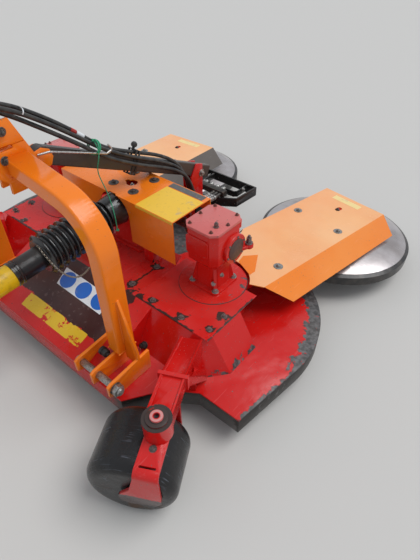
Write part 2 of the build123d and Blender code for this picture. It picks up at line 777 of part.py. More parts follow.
# Castor arms: a channel with upstanding lips from the box out to the swivel bush, which flares
# down to the deck behind a collar. Its profile is (distance back from the bush, height).
pivot_r = 22
arm_back = (617, rotor_y - 297)     # the channel's end on the box
arm_run = hypot(castor_x - arm_back[0], castor_y - arm_back[1])
arm_half = 40               # half width over the lips
lip_t = 6
lip_h = 6
arm_top = castor_top - 9
arm_low = bush_low + 7
collar_at = 150
collar_l = 16
collar_half = 50
web_at = 250                # from here back the channel stands on the deck
flare_at = 318
flare_half = 68
flare_h = 62
with BuildPart() as castor_arms:
    for s in (1, -1):
        back = (s * (arm_back[0] - castor_x) / arm_run, (arm_back[1] - castor_y) / arm_run, 0)
        across = (back[1], -back[0], 0)
        side_plane = Plane(origin=(s * castor_x, castor_y, 0), x_dir=back, z_dir=across)
        with BuildSketch(side_plane):
            loop([
                (0, arm_top), (collar_at, arm_top), (arm_run, box_top + 10), (arm_run, deck_top),
                (web_at + 12, deck_top), (web_at, arm_low), (0, arm_low),
            ])
        extrude(amount=arm_half - lip_t + 1, both=True)
        for v in (1, -1):
            with BuildSketch(side_plane.offset(v * (arm_half - lip_t / 2))):
                loop([
                    (20, arm_top + lip_h), (collar_at, arm_top + lip_h), (arm_run, box_top + 10 + lip_h),
                    (arm_run, deck_top), (web_at + 12, deck_top), (web_at, arm_low), (20, arm_low),
                ])
            extrude(amount=lip_t / 2, both=True)
        with BuildSketch(side_plane):
            loop([
                (collar_at, arm_low), (collar_at, arm_top + lip_h + 3),
                (collar_at + collar_l, arm_top + lip_h), (collar_at + collar_l, arm_low),
            ])
        extrude(amount=collar_half, both=True)
        for at_run, half_w, low, high in (
            (collar_at + collar_l - 1, collar_half - 3, arm_low, arm_top - 2),
            (flare_at, flare_half, deck_top, deck_top + flare_h),
        ):
            origin = (s * castor_x + back[0] * at_run, castor_y + back[1] * at_run, 0)
            with BuildSketch(Plane(origin=origin, x_dir=across, z_dir=(-back[0], -back[1], 0))):
                loop([(-half_w, low), (half_w, low), (half_w, high), (-half_w, high)])
        loft(ruled=True)
        with BuildSketch(Plane.XY.offset(bush_low)):
            with Locations((s * castor_x, castor_y)):
                Circle(bush_r)
        extrude(amount=bush_h)
        with BuildSketch(Plane.XY.offset(bush_low)):
            with Locations((s * castor_x, castor_y)):
                Circle(pivot_r + 0.3)
        extrude(amount=bush_h, mode=Mode.SUBTRACT)
castor_part = castor_arms.part - box_block.part - deck.part - top_plates.part
save(castor_part, "castor_arms")

# Castor forks: a pivot, a strap bent down over both ends of the roller, its legs and the axle
turn = radians(castor_turn)
axle_dir = (cos(turn), sin(turn), 0)
trail_dir = (sin(turn), -cos(turn), 0)
half = roller_l / 2
axle_h = floor + roller_r
bend_out = 24               # outer bend of the strap
leg_top = strap_top - bend_out
front_in = roller_off + half + clear       # inner faces of the two legs, along the axle
rear_in = roller_off - half - clear
for s, side in ((1, "left"), (-1, "right")):
    cx = s * castor_x + trail_dir[0] * roller_trail + axle_dir[0] * roller_off
    cy = castor_y + trail_dir[1] * roller_trail + axle_dir[1] * roller_off
    along = Plane(origin=(s * castor_x, castor_y, 0), x_dir=axle_dir, z_dir=(0, 0, 1))
    with BuildPart() as fork:
        with BuildSketch(Plane(origin=(s * castor_x, castor_y, 0), x_dir=axle_dir, z_dir=trail_dir)) as strap:
            loop([
                (rear_in - strap_t, leg_top - 30), (rear_in - strap_t, strap_top),
                (front_in + strap_t, strap_top), (front_in + strap_t, leg_top - 30),
                (front_in, leg_top - 30), (front_in, strap_top - strap_t),
                (rear_in, strap_top - strap_t), (rear_in, leg_top - 30),
            ])
            fillet(strap.vertices().group_by(Axis.Y)[-2], bend_out - strap_t)
            fillet(strap.vertices().group_by(Axis.Y)[-1], bend_out)
        extrude(amount=strap_w / 2, both=True)
        with BuildSketch(along.offset(strap_top)):
            with Locations((front_in - bend_out + 4, 0)):
                SlotOverall(strap_w - 24, 7, rotation=90)
        extrude(amount=-strap_t - 1, mode=Mode.SUBTRACT)
        with BuildSketch(along.offset(strap_top - 1)):
            Circle(pivot_r)
        extrude(amount=bush_h + 10)
        with BuildSketch(along.offset(castor_top + 1)):
            Circle(34)
        extrude(amount=4)
        with BuildSketch(along.offset(castor_top + 5)):
            Circle(20)
        extrude(amount=8)
        with BuildSketch(along.offset(castor_top + 13)):
            Circle(8)
        extrude(amount=-9, mode=Mode.SUBTRACT)
        for inner, e in ((front_in, 1), (rear_in, -1)):
            leg_x = s * castor_x + axle_dir[0] * inner
            leg_y = castor_y + axle_dir[1] * inner
            with BuildSketch(Plane(origin=(leg_x, leg_y, 0), x_dir=(-trail_dir[0], -trail_dir[1], 0), z_dir=axle_dir)):
                loop([
                    (strap_w / 2, leg_top), (-strap_w / 2, leg_top), (-strap_w / 2 - 20, axle_h + 60),
                    (-roller_trail - 28, axle_h + 10), (-roller_trail - 22, axle_h - 22),
                    (-roller_trail + 10, axle_h - 34), (20, axle_h - 18), (strap_w / 2, axle_h + 6),
                ])
            extrude(amount=e * strap_t)
        axle_start = (cx - axle_dir[0] * (half + clear), cy - axle_dir[1] * (half + clear), axle_h)
        with BuildSketch(Plane(origin=axle_start, z_dir=axle_dir)):
            Circle(12)
        extrude(amount=2 * (half + clear))
    save(fork.part, f"castor_fork_{side}")
    with BuildPart() as roller:
        base = Plane(origin=(cx, cy, axle_h), x_dir=axle_dir, z_dir=(axle_dir[1], -axle_dir[0], 0))
        with BuildSketch(base) as half_roller:
            with BuildLine() as rim:
                Polyline((-half, roller_r - round_r), (-half, 12.3), (half, 12.3), (half, roller_r - round_r))
                RadiusArc((half, roller_r - round_r), (half - round_r, roller_r), -round_r)
                Line((half - round_r, roller_r), (-half + round_r, roller_r))
                RadiusArc((-half + round_r, roller_r), (-half, roller_r - round_r), -round_r)
            make_face(rim.edges())
        revolve(axis=Axis((cx, cy, axle_h), axle_dir))
    save(roller.part, f"roller_{side}")


# Main rotors: hub under the deck with a blade bar and two swinging blades
blade_tip = 430             # inside the deck's edge under the castor arm
rotor_low = deck_top - 58
for s, side in ((1, "left"), (-1, "right")):
    at = Plane(origin=(s * rotor_x, rotor_y, 0), x_dir=(1, 0, 0), z_dir=(0, 0, 1))
    with BuildPart() as rotor:
        with BuildSketch(at.offset(rotor_low)):
            Circle(75)
        extrude(amount=22)
        with BuildSketch(at.offset(rotor_low)):
            Circle(40)
        extrude(amount=plate_top - rotor_low - 0.5)
        with BuildSketch(at.offset(rotor_low)):
            Rectangle(2 * (blade_tip - 90), 80)
        extrude(amount=12)
        for e in (1, -1):
            with BuildSketch(at.offset(rotor_low - 8)):
                with Locations((e * (blade_tip - 70), 0)):
                    Rectangle(140, 60)
            extrude(amount=8)
    save(rotor.part, f"main_rotor_{side}")


# Swing arms
def arm_axes(s, splay):
    """Unit vectors along the arm, outwards and up, with the arm's fall to the rear."""
    a = radians(splay)
    p = radians(arm_pitch)
    u = (s * sin(a) * cos(p), cos(a) * cos(p), -sin(p))
    v = (s * cos(a), -sin(a), 0)
    w = (s * sin(a) * sin(p), cos(a) * sin(p), cos(p))
    return u, v, w


def arm_point(s, splay, u, v, w):
    eu, ev, ew = arm_axes(s, splay)
    base = (s * rotor_x, rotor_y, arm_origin_h)
    return tuple(base[i] + u * eu[i] + v * ev[i] + w * ew[i] for i in range(3))


# Skid dish under each swing rotor: a shallow ball shape whose lowest point is on the ground
dish_ball = 600
dish_flat = 150
hub_h = arm_origin_h - floor - hub_u * sin(radians(arm_pitch))
dish_low = (dish_ball - hub_h) / cos(radians(arm_pitch)) - dish_ball


def dish_at(r):
    return dish_low + dish_ball - sqrt(dish_ball**2 - r**2)


for s, side, splay in ((1, "left", splay_near), (-1, "right", splay_far)):
    eu, ev, ew = arm_axes(s, splay)

    def flat(w, u=0, v=0):
        """A plane parallel to the arm cover, its x along the arm."""
        return Plane(origin=arm_point(s, splay, u, v, w), x_dir=eu, z_dir=ew)

    out = s * -1          # the plane's y points inwards on the left arm

    with BuildPart() as arm_cover:
        with BuildSketch(flat(-cover_sheet)):
            with BuildLine():
                a0 = radians(56)
                a1 = radians(-10)
                p0 = (neck_clear_r * cos(a0), out * neck_clear_r * sin(a0))
                pm = (neck_clear_r * cos((a0 + a1) / 2), out * neck_clear_r * sin((a0 + a1) / 2))
                p1 = (neck_clear_r * cos(a1), out * neck_clear_r * sin(a1))
                ThreePointArc(p0, pm, p1)
                Polyline(
                    p1, (210, -out * 96), (352, -out * cover_v), (arm_len, -out * cover_v),
                    (arm_len, out * cover_v), (118, out * cover_v), p0,
                )
            make_face()
            with Locations((874, 0)):
                SlotOverall(44, 26, mode=Mode.SUBTRACT)
        extrude(amount=cover_sheet)
        for e, front in ((1, 118), (-1, 352)):
            with BuildSketch(flat(0)):
                loop([(front, out * e * cover_v), (arm_len, out * e * cover_v),
                      (arm_len, out * e * (cover_v - 4)), (front, out * e * (cover_v - 4))])
            low = 109 if e > 0 else 60
            with BuildSketch(flat(-flap_drop)):
                y1 = out * e * (cover_v + flap_out)
                y0 = out * e * (cover_v + flap_out - 6)
                loop([(front + low, y1), (arm_len - 1, y1), (arm_len - 1, y0), (front + low, y0)])
            loft(ruled=True)
    save(arm_cover.part, f"arm_cover_{side}")

    with BuildPart() as arm_beam:
        with BuildSketch(flat(-cover_sheet)):
            with Locations(((hub_u + 60) / 2 + 40, 0)):
                Rectangle(hub_u - 40, 190)
        extrude(amount=-62)
        with BuildSketch(flat(-cover_sheet - 6, hub_u)):
            Circle(100)
        extrude(amount=-66)
        with BuildSketch(Plane(origin=(s * rotor_x, rotor_y, deck_top + 18), x_dir=(1, 0, 0), z_dir=(0, 0, 1))):
            Circle(140)
        extrude(amount=box_top - deck_top - 30)
        with BuildSketch(flat(-67, hub_u)):
            Circle(hub_boss_r)
        extrude(amount=-30)
        with BuildSketch(Plane(origin=(s * rotor_x, rotor_y, deck_top), x_dir=(1, 0, 0), z_dir=(0, 0, 1))):
            Circle(pivot_tube_r + 0.3)
        extrude(amount=220, mode=Mode.SUBTRACT)
        top_cut = Plane(origin=(s * rotor_x, rotor_y, box_top - sheet - clear), x_dir=(1, 0, 0), z_dir=(0, 0, 1))
        with BuildSketch(top_cut):
            Rectangle(2 * 210, 2 * 210)
        extrude(amount=60, mode=Mode.SUBTRACT)
    save(arm_beam.part, f"arm_beam_{side}")

    hub = arm_point(s, splay, hub_u, 0, 0)
    with BuildPart() as hood:
        with BuildSketch(Plane(origin=hub, x_dir=eu, z_dir=ev)):
            o = 1 if s > 0 else -1
            dome = [
                (hub_boss_r + 0.4, -88), (200, -98), (320, -116), (hood_r - 18, hood_rim_w + hood_rim_h),
                (hood_r, hood_rim_w + hood_rim_h - 10), (hood_r, hood_rim_w), (hood_r - 5, hood_rim_w),
                (hood_r - 5, hood_rim_w + hood_rim_h - 14), (hood_r - 22, hood_rim_w + hood_rim_h - 6),
                (318, -122), (200, -104), (hub_boss_r + 0.4, -94),
            ]
            loop([(r, o * z) for r, z in dome])
        revolve(axis=Axis(hub, ew))
    save(hood.part, f"feeler_hood_{side}")

    with BuildPart() as swing_rotor:
        with BuildSketch(flat(-97.5, hub_u)):
            Circle(38)
        extrude(amount=-50)
        with BuildSketch(flat(-140, hub_u)):
            Rectangle(2 * 260, 70)
        extrude(amount=-12)
        for e in (1, -1):
            with BuildSketch(flat(-152, hub_u)):
                with Locations((e * 300, 0)):
                    Rectangle(130, 56)
            extrude(amount=-8)
        with BuildSketch(Plane(origin=hub, x_dir=eu, z_dir=ev)):
            o = 1 if s > 0 else -1
            with BuildLine() as dish:
                ThreePointArc((0, o * dish_low), (dish_flat / 2, o * dish_at(dish_flat / 2)),
                              (dish_flat, o * dish_at(dish_flat)))
                Polyline((dish_flat, o * dish_at(dish_flat)), (205, o * -206), (205, o * -200),
                         (150, o * -152), (0, o * -152), (0, o * dish_low))
            make_face(dish.edges())
        revolve(axis=Axis(hub, ew))
    save(swing_rotor.part, f"swing_rotor_{side}")

    # The cylinder: barrel on the deck's post, rod to a point under the arm
    foot = Vector(s * cyl_x, cyl_y, cyl_h)
    lug_at = arm_point(s, splay, lug_u, lug_v, lug_w)
    eye = Vector(lug_at[0], lug_at[1], cyl_h)
    span = (eye - foot).length
    line_dir = (eye - foot).normalized()
    cross = Plane(origin=foot, z_dir=line_dir)
    tongue_plane = Plane(origin=foot - Vector(0, 0, cyl_eye_t / 2), x_dir=line_dir, z_dir=(0, 0, 1))
    with BuildPart() as barrel:
        with BuildSketch(tongue_plane):
            Circle(24)
            with Locations((20, 0)):
                Rectangle(40, 36)
        extrude(amount=cyl_eye_t)
        with BuildSketch(cross.offset(32)):
            Circle(cyl_barrel_r)
        extrude(amount=cyl_barrel_l)
        with BuildSketch(cross.offset(46)):
            Circle(cyl_barrel_r - 5)
        extrude(amount=cyl_barrel_l - 36, mode=Mode.SUBTRACT)
        with BuildSketch(cross.offset(46)):
            Circle(cyl_rod_r + 0.3)
        extrude(amount=cyl_barrel_l, mode=Mode.SUBTRACT)
        with BuildSketch(tongue_plane):
            Circle(post_pin_r + 0.2)
        extrude(amount=cyl_eye_t, mode=Mode.SUBTRACT)
    save(barrel.part, f"cylinder_barrel_{side}")
    piston_at = 50 + cyl_per_degree * splay
    with BuildPart() as rod:
        with BuildSketch(cross.offset(piston_at)):
            Circle(cyl_rod_r)
        extrude(amount=span - 12 - piston_at)
        with BuildSketch(cross.offset(piston_at)):
            Circle(cyl_barrel_r - 5.3)
        extrude(amount=18)
        with BuildSketch(Plane(origin=eye - Vector(0, 0, cyl_eye_t / 2), z_dir=(0, 0, 1))):
            Circle(22)
        extrude(amount=cyl_eye_t)
        with BuildSketch(Plane(origin=eye, z_dir=(0, 0, 1))):
            Circle(11)
        extrude(amount=lug_at[2] - cyl_h - 3)
    save(rod.part, f"cylinder_rod_{side}")
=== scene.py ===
import bpy
import bmesh
from math import cos, pi, radians, sin
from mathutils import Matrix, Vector


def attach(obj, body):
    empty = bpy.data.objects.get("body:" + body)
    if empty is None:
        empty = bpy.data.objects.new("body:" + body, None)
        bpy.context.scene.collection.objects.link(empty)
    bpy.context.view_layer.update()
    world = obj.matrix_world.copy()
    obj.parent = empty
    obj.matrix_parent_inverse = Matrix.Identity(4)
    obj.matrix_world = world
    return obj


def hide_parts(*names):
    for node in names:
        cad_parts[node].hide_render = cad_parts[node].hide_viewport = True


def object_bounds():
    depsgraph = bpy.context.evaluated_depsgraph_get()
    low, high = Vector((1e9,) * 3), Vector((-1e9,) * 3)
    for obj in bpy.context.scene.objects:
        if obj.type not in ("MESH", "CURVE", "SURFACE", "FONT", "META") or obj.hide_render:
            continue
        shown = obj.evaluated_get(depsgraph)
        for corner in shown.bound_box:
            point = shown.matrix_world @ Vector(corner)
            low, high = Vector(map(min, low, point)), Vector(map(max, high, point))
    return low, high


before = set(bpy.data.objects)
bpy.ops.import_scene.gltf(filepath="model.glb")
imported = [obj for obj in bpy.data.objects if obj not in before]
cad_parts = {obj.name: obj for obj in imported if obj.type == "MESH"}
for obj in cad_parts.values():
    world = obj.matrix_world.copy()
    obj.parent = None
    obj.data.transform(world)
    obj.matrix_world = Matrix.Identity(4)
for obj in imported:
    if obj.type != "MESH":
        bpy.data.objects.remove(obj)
cad_low, cad_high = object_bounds()

# Where it stands: a plain pale floor under the rollers and skid dishes, in soft light from a
# bright, even sky, seen from the front left corner of the machine at standing height.
ground = cad_low.z
eye = Vector((1.3188, -0.4875, 0.5849))
eye_turn = radians(39.4)
eye_fall = radians(41.9)
sensor = 24.0
focal_px = 435.6
picture_px = 560


def placed(name, data):
    """A new object in the scene from a mesh, curve, lamp or camera."""
    item = bpy.data.objects.new(name, data)
    bpy.context.scene.collection.objects.link(item)
    return item


def new_finish(name):
    """A new material with its node tree and its shader."""
    finish = bpy.data.materials.new(name)
    finish.use_nodes = True
    return finish, finish.node_tree, finish.node_tree.nodes["Principled BSDF"]


def mesh_of(name, points, edges, faces):
    """A mesh from its points and the edges or faces between them."""
    mesh = bpy.data.meshes.new(name)
    mesh.from_pydata([tuple(p) for p in points], edges, faces)
    return mesh


camera_data = bpy.data.cameras.new("camera")
camera_data.sensor_fit = "VERTICAL"
camera_data.sensor_height = sensor
camera_data.lens = sensor * focal_px / picture_px
camera = placed("camera", camera_data)
camera.location = eye
camera.rotation_euler = (pi / 2 - eye_fall, 0, eye_turn)
bpy.context.scene.camera = camera

floor_half = 14
floor_corners = [(x * floor_half, y * floor_half, ground)
                 for x, y in ((-1, -1), (1, -1), (1, 1), (-1, 1))]
floor = placed("floor", mesh_of("floor", floor_corners, [], [(0, 1, 2, 3)]))
floor_finish, _, floor_shader = new_finish("pale_floor")
floor_shader.inputs["Base Color"].default_value = (0.56, 0.545, 0.52, 1)
floor_shader.inputs["Roughness"].default_value = 0.9
floor.data.materials.append(floor_finish)

world = bpy.data.worlds.new("sky")
bpy.context.scene.world = world
world.use_nodes = True
sky = world.node_tree.nodes["Background"]
sky.inputs["Color"].default_value = (0.88, 0.93, 1.0, 1)
sky.inputs["Strength"].default_value = 0.62
bpy.context.scene.view_settings.view_transform = "Standard"

sun_data = bpy.data.lights.new("soft_sun", "SUN")
sun_data.energy = 1.75
sun_data.angle = radians(38)
sun = placed("soft_sun", sun_data)
sun.rotation_euler = Vector((-0.42, -0.36, -1.0)).to_track_quat("-Z", "Y").to_euler()


# Deck: one sheet of steel with a skirt welded round it, red on top, its edge ground bare by grass
# and stones. The paint is a thick gloss coat that chips in flakes along edges and seams.
def link(source, target):
    source.id_data.links.new(source, target)


def sums(operation, a, b=0.0):
    """One step of arithmetic on sockets or plain numbers, in the tree of the first socket."""
    tree = next(item.id_data for item in (a, b) if not isinstance(item, (int, float)))
    step = tree.nodes.new("ShaderNodeMath")
    step.operation = operation
    for slot_index, item in enumerate((a, b)):
        if isinstance(item, (int, float)):
            step.inputs[slot_index].default_value = item
        else:
            link(item, step.inputs[slot_index])
    return step.outputs[0]


def plus(a, b):
    return sums("ADD", a, b)


def minus(a, b):
    return sums("SUBTRACT", a, b)


def times(a, b):
    return sums("MULTIPLY", a, b)


def most(a, b):
    """The larger of the two."""
    return sums("MAXIMUM", a, b)


def rest(a):
    """What a lacks to 1."""
    return minus(1.0, a)


def between(low, high, value):
    """0 below low, 1 above high, smooth between."""
    step = value.id_data.nodes.new("ShaderNodeMapRange")
    step.interpolation_type = "SMOOTHSTEP"
    step.inputs["From Min"].default_value = low
    step.inputs["From Max"].default_value = high
    link(value, step.inputs["Value"])
    return step.outputs["Result"]


def grain(tree, size, detail=4, roughness=0.55, stretch=(1, 1, 1)):
    """Noise whose lumps are about size metres across, on the piece's own coordinates."""
    place = tree.nodes.new("ShaderNodeTexCoord")
    mapping = tree.nodes.new("ShaderNodeMapping")
    mapping.inputs["Scale"].default_value = stretch
    link(place.outputs["Object"], mapping.inputs["Vector"])
    noise = tree.nodes.new("ShaderNodeTexNoise")
    noise.inputs["Scale"].default_value = 1 / size
    noise.inputs["Detail"].default_value = detail
    noise.inputs["Roughness"].default_value = roughness
    link(mapping.outputs["Vector"], noise.inputs["Vector"])
    return noise.outputs["Fac"]


def mixed(factor, a, b):
    """Colour a where factor is 0 and b where it is 1."""
    mix = factor.id_data.nodes.new("ShaderNodeMix")
    mix.data_type = "RGBA"
    link(factor, mix.inputs[0])
    for slot_index, item in ((6, a), (7, b)):
        if isinstance(item, tuple):
            mix.inputs[slot_index].default_value = (*item, 1)
        else:
            link(item, mix.inputs[slot_index])
    return mix.outputs[2]


def edge_mask(tree, reach):
    """Near 1 along the outer edges of a piece and 0 on its flats."""
    bevel = tree.nodes.new("ShaderNodeBevel")
    bevel.samples = 6
    bevel.inputs["Radius"].default_value = reach
    geometry = tree.nodes.new("ShaderNodeNewGeometry")
    dot = tree.nodes.new("ShaderNodeVectorMath")
    dot.operation = "DOT_PRODUCT"
    link(bevel.outputs["Normal"], dot.inputs[0])
    link(geometry.outputs["Normal"], dot.inputs[1])
    return between(0.01, 0.2, rest(dot.outputs["Value"]))


def facing_up(tree):
    """1 where the surface is level and looks up, 0 where it stands upright."""
    geometry = tree.nodes.new("ShaderNodeNewGeometry")
    parts = tree.nodes.new("ShaderNodeSeparateXYZ")
    link(geometry.outputs["Normal"], parts.inputs[0])
    return parts.outputs["Z"]


def along(tree, axis):
    """The place on the machine along one axis, in metres."""
    place = tree.nodes.new("ShaderNodeTexCoord")
    parts = tree.nodes.new("ShaderNodeSeparateXYZ")
    link(place.outputs["Object"], parts.inputs[0])
    return parts.outputs[axis]


def off_middle(tree):
    """The distance from the machine's middle plane, in metres."""
    return sums("ABSOLUTE", along(tree, "X"))


def from_axis(tree, x, y):
    """The distance seen from above from an upright axis, the same on both sides."""
    across = minus(off_middle(tree), x)
    back = minus(along(tree, "Y"), y)
    return sums("SQRT", plus(times(across, across), times(back, back)))


def bumped(shader, layers):
    """Stacks bumps from (height socket, depth in metres) pairs."""
    last = None
    for source, depth in layers:
        bump = shader.id_data.nodes.new("ShaderNodeBump")
        bump.inputs["Strength"].default_value = 1.0
        bump.inputs["Distance"].default_value = depth
        link(source, bump.inputs["Height"])
        if last:
            link(last, bump.inputs["Normal"])
        last = bump.outputs["Normal"]
    link(last, shader.inputs["Normal"])


steel_bare = (0.17, 0.165, 0.165)
steel_dark = (0.05, 0.047, 0.047)
soil_dust = (0.36, 0.31, 0.26)


def paint(name, colour, faded, edge_reach=0.003, chips=0.5, dust=0.2, gloss=0.28, fade=0.5,
          bare=steel_bare, worn_places=None, stained_places=None):
    """Machine paint: faded in patches and paler on level tops (sun fading plus a painted sheen of the
    bright sky), chipped at the edges and in specks, scratched and dusty.
    """
    finish, tree, shader = new_finish(name)
    patches = between(0.30, 0.70, grain(tree, 0.5, 3))
    # Level tops take more of the paler faded colour: partly sun fading, partly a painted sheen of the
    # bright sky.
    tops_faded_and_sheen = plus(times(between(0.75, 0.98, facing_up(tree)), 0.65), 0.35)
    body = mixed(times(times(patches, tops_faded_and_sheen), fade), colour, faded)
    flakes = grain(tree, 0.035, 8, 0.66)
    specks = between(0.70, 0.72, grain(tree, 0.008, 2, 0.5))
    worn = plus(flakes, times(edge_mask(tree, edge_reach), 0.26 * chips))
    if worn_places:
        worn = plus(worn, worn_places(tree))
    chipped = between(0.735, 0.75, worn)
    chipped = most(chipped, times(specks, min(1.0, chips)))
    scratches = between(0.67, 0.70, grain(tree, 0.006, 2, 0.5, (1, 0.05, 1)))
    lit = mixed(times(scratches, 0.16), body, tuple(min(1, c + 0.2) for c in colour))
    metal = mixed(between(0.35, 0.65, grain(tree, 0.02, 6)), bare, steel_dark)
    coloured = mixed(chipped, lit, metal)
    if stained_places:
        for stain, stain_colour in stained_places(tree, flakes):
            coloured = mixed(stain, coloured, stain_colour)
    cover = times(between(0.3, 1.0, facing_up(tree)), between(0.4, 0.75, grain(tree, 0.3, 6)))
    dusty = mixed(times(cover, dust * 0.5), coloured, soil_dust)
    link(dusty, shader.inputs["Base Color"])
    rough = plus(times(grain(tree, 0.08, 5), 0.22), gloss - 0.12)
    rough = plus(rough, times(chipped, 0.25))
    rough = plus(rough, times(cover, dust * 0.8))
    link(rough, shader.inputs["Roughness"])
    link(times(chipped, 0.35), shader.inputs["Metallic"])
    shader.inputs["Specular IOR Level"].default_value = 0.36
    shader.inputs["Coat Weight"].default_value = 0.10
    shader.inputs["Coat Roughness"].default_value = 0.08
    bumped(shader, [(times(chipped, -1.0), 0.0005), (grain(tree, 0.0035, 2), 0.00015),
                    (grain(tree, 0.11, 2), 0.004)])
    return finish


def merged_copy(node):
    """The CAD node's mesh, its corners merged and its flat facets joined."""
    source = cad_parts[node].data.copy()
    work = bmesh.new()
    work.from_mesh(source)
    bmesh.ops.remove_doubles(work, verts=work.verts, dist=1e-5)
    bmesh.ops.dissolve_limit(work, angle_limit=radians(0.8), verts=work.verts, edges=work.edges)
    work.to_mesh(source)
    work.free()
    source.materials.clear()
    return source


def worked_out(piece):
    """The plain mesh that a piece's modifiers or its curve's thickness come to."""
    graph = bpy.context.evaluated_depsgraph_get()
    return bpy.data.meshes.new_from_object(piece.evaluated_get(graph))


def settled(piece, angle=38):
    """The piece with its modifiers turned into plain mesh, smooth except at corners."""
    done = worked_out(piece)
    piece.modifiers.clear()
    piece.data = done
    for polygon in done.polygons:
        polygon.use_smooth = True
    done.set_sharp_from_angle(angle=radians(angle))
    return piece


def rounded(piece, width, segments=2):
    """The piece with its corners rounded off by a bevel."""
    rounding = piece.modifiers.new("edges", "BEVEL")
    rounding.width = width
    rounding.segments = segments
    rounding.limit_method = "ANGLE"
    rounding.angle_limit = radians(28)
    rounding.use_clamp_overlap = True
    return piece


def coated(piece, finish, body):
    """The piece in one finish, on a body of the machine."""
    piece.data.materials.clear()
    piece.data.materials.append(finish)
    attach(piece, body)
    return piece


def dressed(node, finish, body, edge=0.0015, segments=2, angle=38):
    """A piece that stands for a CAD node, with its edges rounded as on the real one."""
    piece = placed(node + "_shown", merged_copy(node))
    if edge:
        rounded(piece, edge, segments)
    settled(piece, angle)
    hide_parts(node)
    return coated(piece, finish, body)


red = (0.56, 0.006, 0.005)
red_faded = (0.62, 0.018, 0.014)
rotor_mm = 475
gearbox_line_mm = 560
rotor_x = rotor_mm / 1000
rotor_y = gearbox_line_mm / 1000
deck_r = 0.465


def deck_wear(tree):
    """More wear towards the round edge, and the skirt below the top worn bare all round."""
    across = minus(off_middle(tree), rotor_x)
    back = minus(along(tree, "Y"), rotor_y)
    rear = between(0.40, 0.85, along(tree, "Y"))
    reach = plus(from_axis(tree, rotor_x, rotor_y), times(rear, 0.024))
    past_front = between(0.44, 0.50, along(tree, "Y"))
    rim = times(between(deck_r - 0.080, deck_r - 0.002, reach), past_front)
    wing_edge = plus(times(across, 0.9906), times(back, -0.1365))
    side = between(0.438, 0.4665, wing_edge)
    worn = most(rim, times(side, 0.9))
    return plus(times(worn, 0.33), 0.05)


def skirt_stains(tree, flakes):
    """The skirt is scraped to dark steel except across the front tongue."""
    below = rest(between(-0.7835, -0.7795, along(tree, "Z")))
    beside = between(0.40, 0.52, off_middle(tree))
    behind = between(0.05, 0.15, along(tree, "Y"))
    where = times(below, most(beside, behind))
    return [(where, mixed(grain(tree, 0.05, 6), (0.010, 0.008, 0.007), (0.038, 0.030, 0.026)))]


deck_red = paint("deck_red", red, red_faded, chips=1.0, dust=0.25, gloss=0.24, worn_places=deck_wear,
                 stained_places=skirt_stains, bare=(0.13, 0.125, 0.125))
dressed("deck", deck_red, "chassis", 0.002)

# Drive box and its bolted top plates: folded sheet in the same red, chipped along its foot and
# along the edges of the plates. The black plug is a rubber stop in the box's front.
box_foot = -0.777
box_bolt_spots = ((227, -224), (231, -83))
plate_bolt_spots = ((366, -242), (515, -241), (636, -221), (637, -133))
grease_brown = (0.030, 0.012, 0.010)


def box_wear(tree):
    """More wear along the foot, outside the gearboxes."""
    low = rest(between(box_foot + 0.004, box_foot + 0.05, along(tree, "Z")))
    outside = between(0.60, 0.68, off_middle(tree))
    return times(times(low, outside), 0.24)


def within(low, high, value, soft):
    """1 from low to high and 0 outside, with a soft step at both ends."""
    return times(between(low - soft, low + soft, value), rest(between(high - soft, high + soft, value)))


def grease_line(tree, flakes, axis, at, half, low, high):
    """A ragged dark line of grease and dirt along a seam, the same on both sides."""
    over, span = off_middle(tree), along(tree, "Y")
    if axis == "Y":
        over, span = span, over
    away = sums("ABSOLUTE", minus(over, at))
    ragged = plus(away, times(minus(0.5, flakes), 0.03))
    return times(rest(between(half * 0.6, half, ragged)),
                 within(low + 0.005, high - 0.005, span, 0.005))


def grease_spots(tree, flakes, spots, reach):
    """Torn dark patches where grease has crept out round bolts, the same on both sides."""
    patches = None
    for x, y in spots:
        away = from_axis(tree, x / 1000, (y + gearbox_line_mm) / 1000)
        ragged = plus(away, times(minus(0.5, flakes), 0.13))
        here = rest(between(reach * 0.85, reach, ragged))
        patches = most(patches, here) if patches else here
    return patches


def box_stains(tree, flakes):
    """Grease along the inner bend and round the bolts, on the level top only."""
    top = between(-0.640, -0.632, along(tree, "Z"))
    inner = grease_line(tree, flakes, "X", 0.229, 0.0060, 0.315, 0.480)
    patches = grease_spots(tree, flakes, (*box_bolt_spots, (262, -258)), 0.022)
    return [(times(most(inner, patches), top), (0.030, 0.011, 0.009))]


def plate_stains(tree, flakes):
    """Grease along the plates' front and outer edges and round their bolts."""
    front = grease_line(tree, flakes, "Y", 0.293, 0.0085, 0.28, 0.60)
    patches = grease_spots(tree, flakes, (*plate_bolt_spots, (310, -262)), 0.021)
    outer = grease_line(tree, flakes, "X", 0.665, 0.005, 0.29, 0.58)
    return [(front, grease_brown), (outer, (0.045, 0.020, 0.018)), (patches, grease_brown)]


box_red = paint("box_red", red, red_faded, chips=0.9, dust=0.2, gloss=0.22, worn_places=box_wear,
                stained_places=box_stains)
plate_red = paint("plate_red", (0.58, 0.007, 0.005), red_faded, chips=1.0, dust=0.15, gloss=0.28,
                  fade=0.3, stained_places=plate_stains)
dressed("drive_box", box_red, "chassis", 0.002, 2, 14)
dressed("top_plates", plate_red, "chassis", 0.001, 2, 14)
dressed("arm_pivots", box_red, "chassis", 0)
dressed("cover_feet", box_red, "chassis", 0.001)


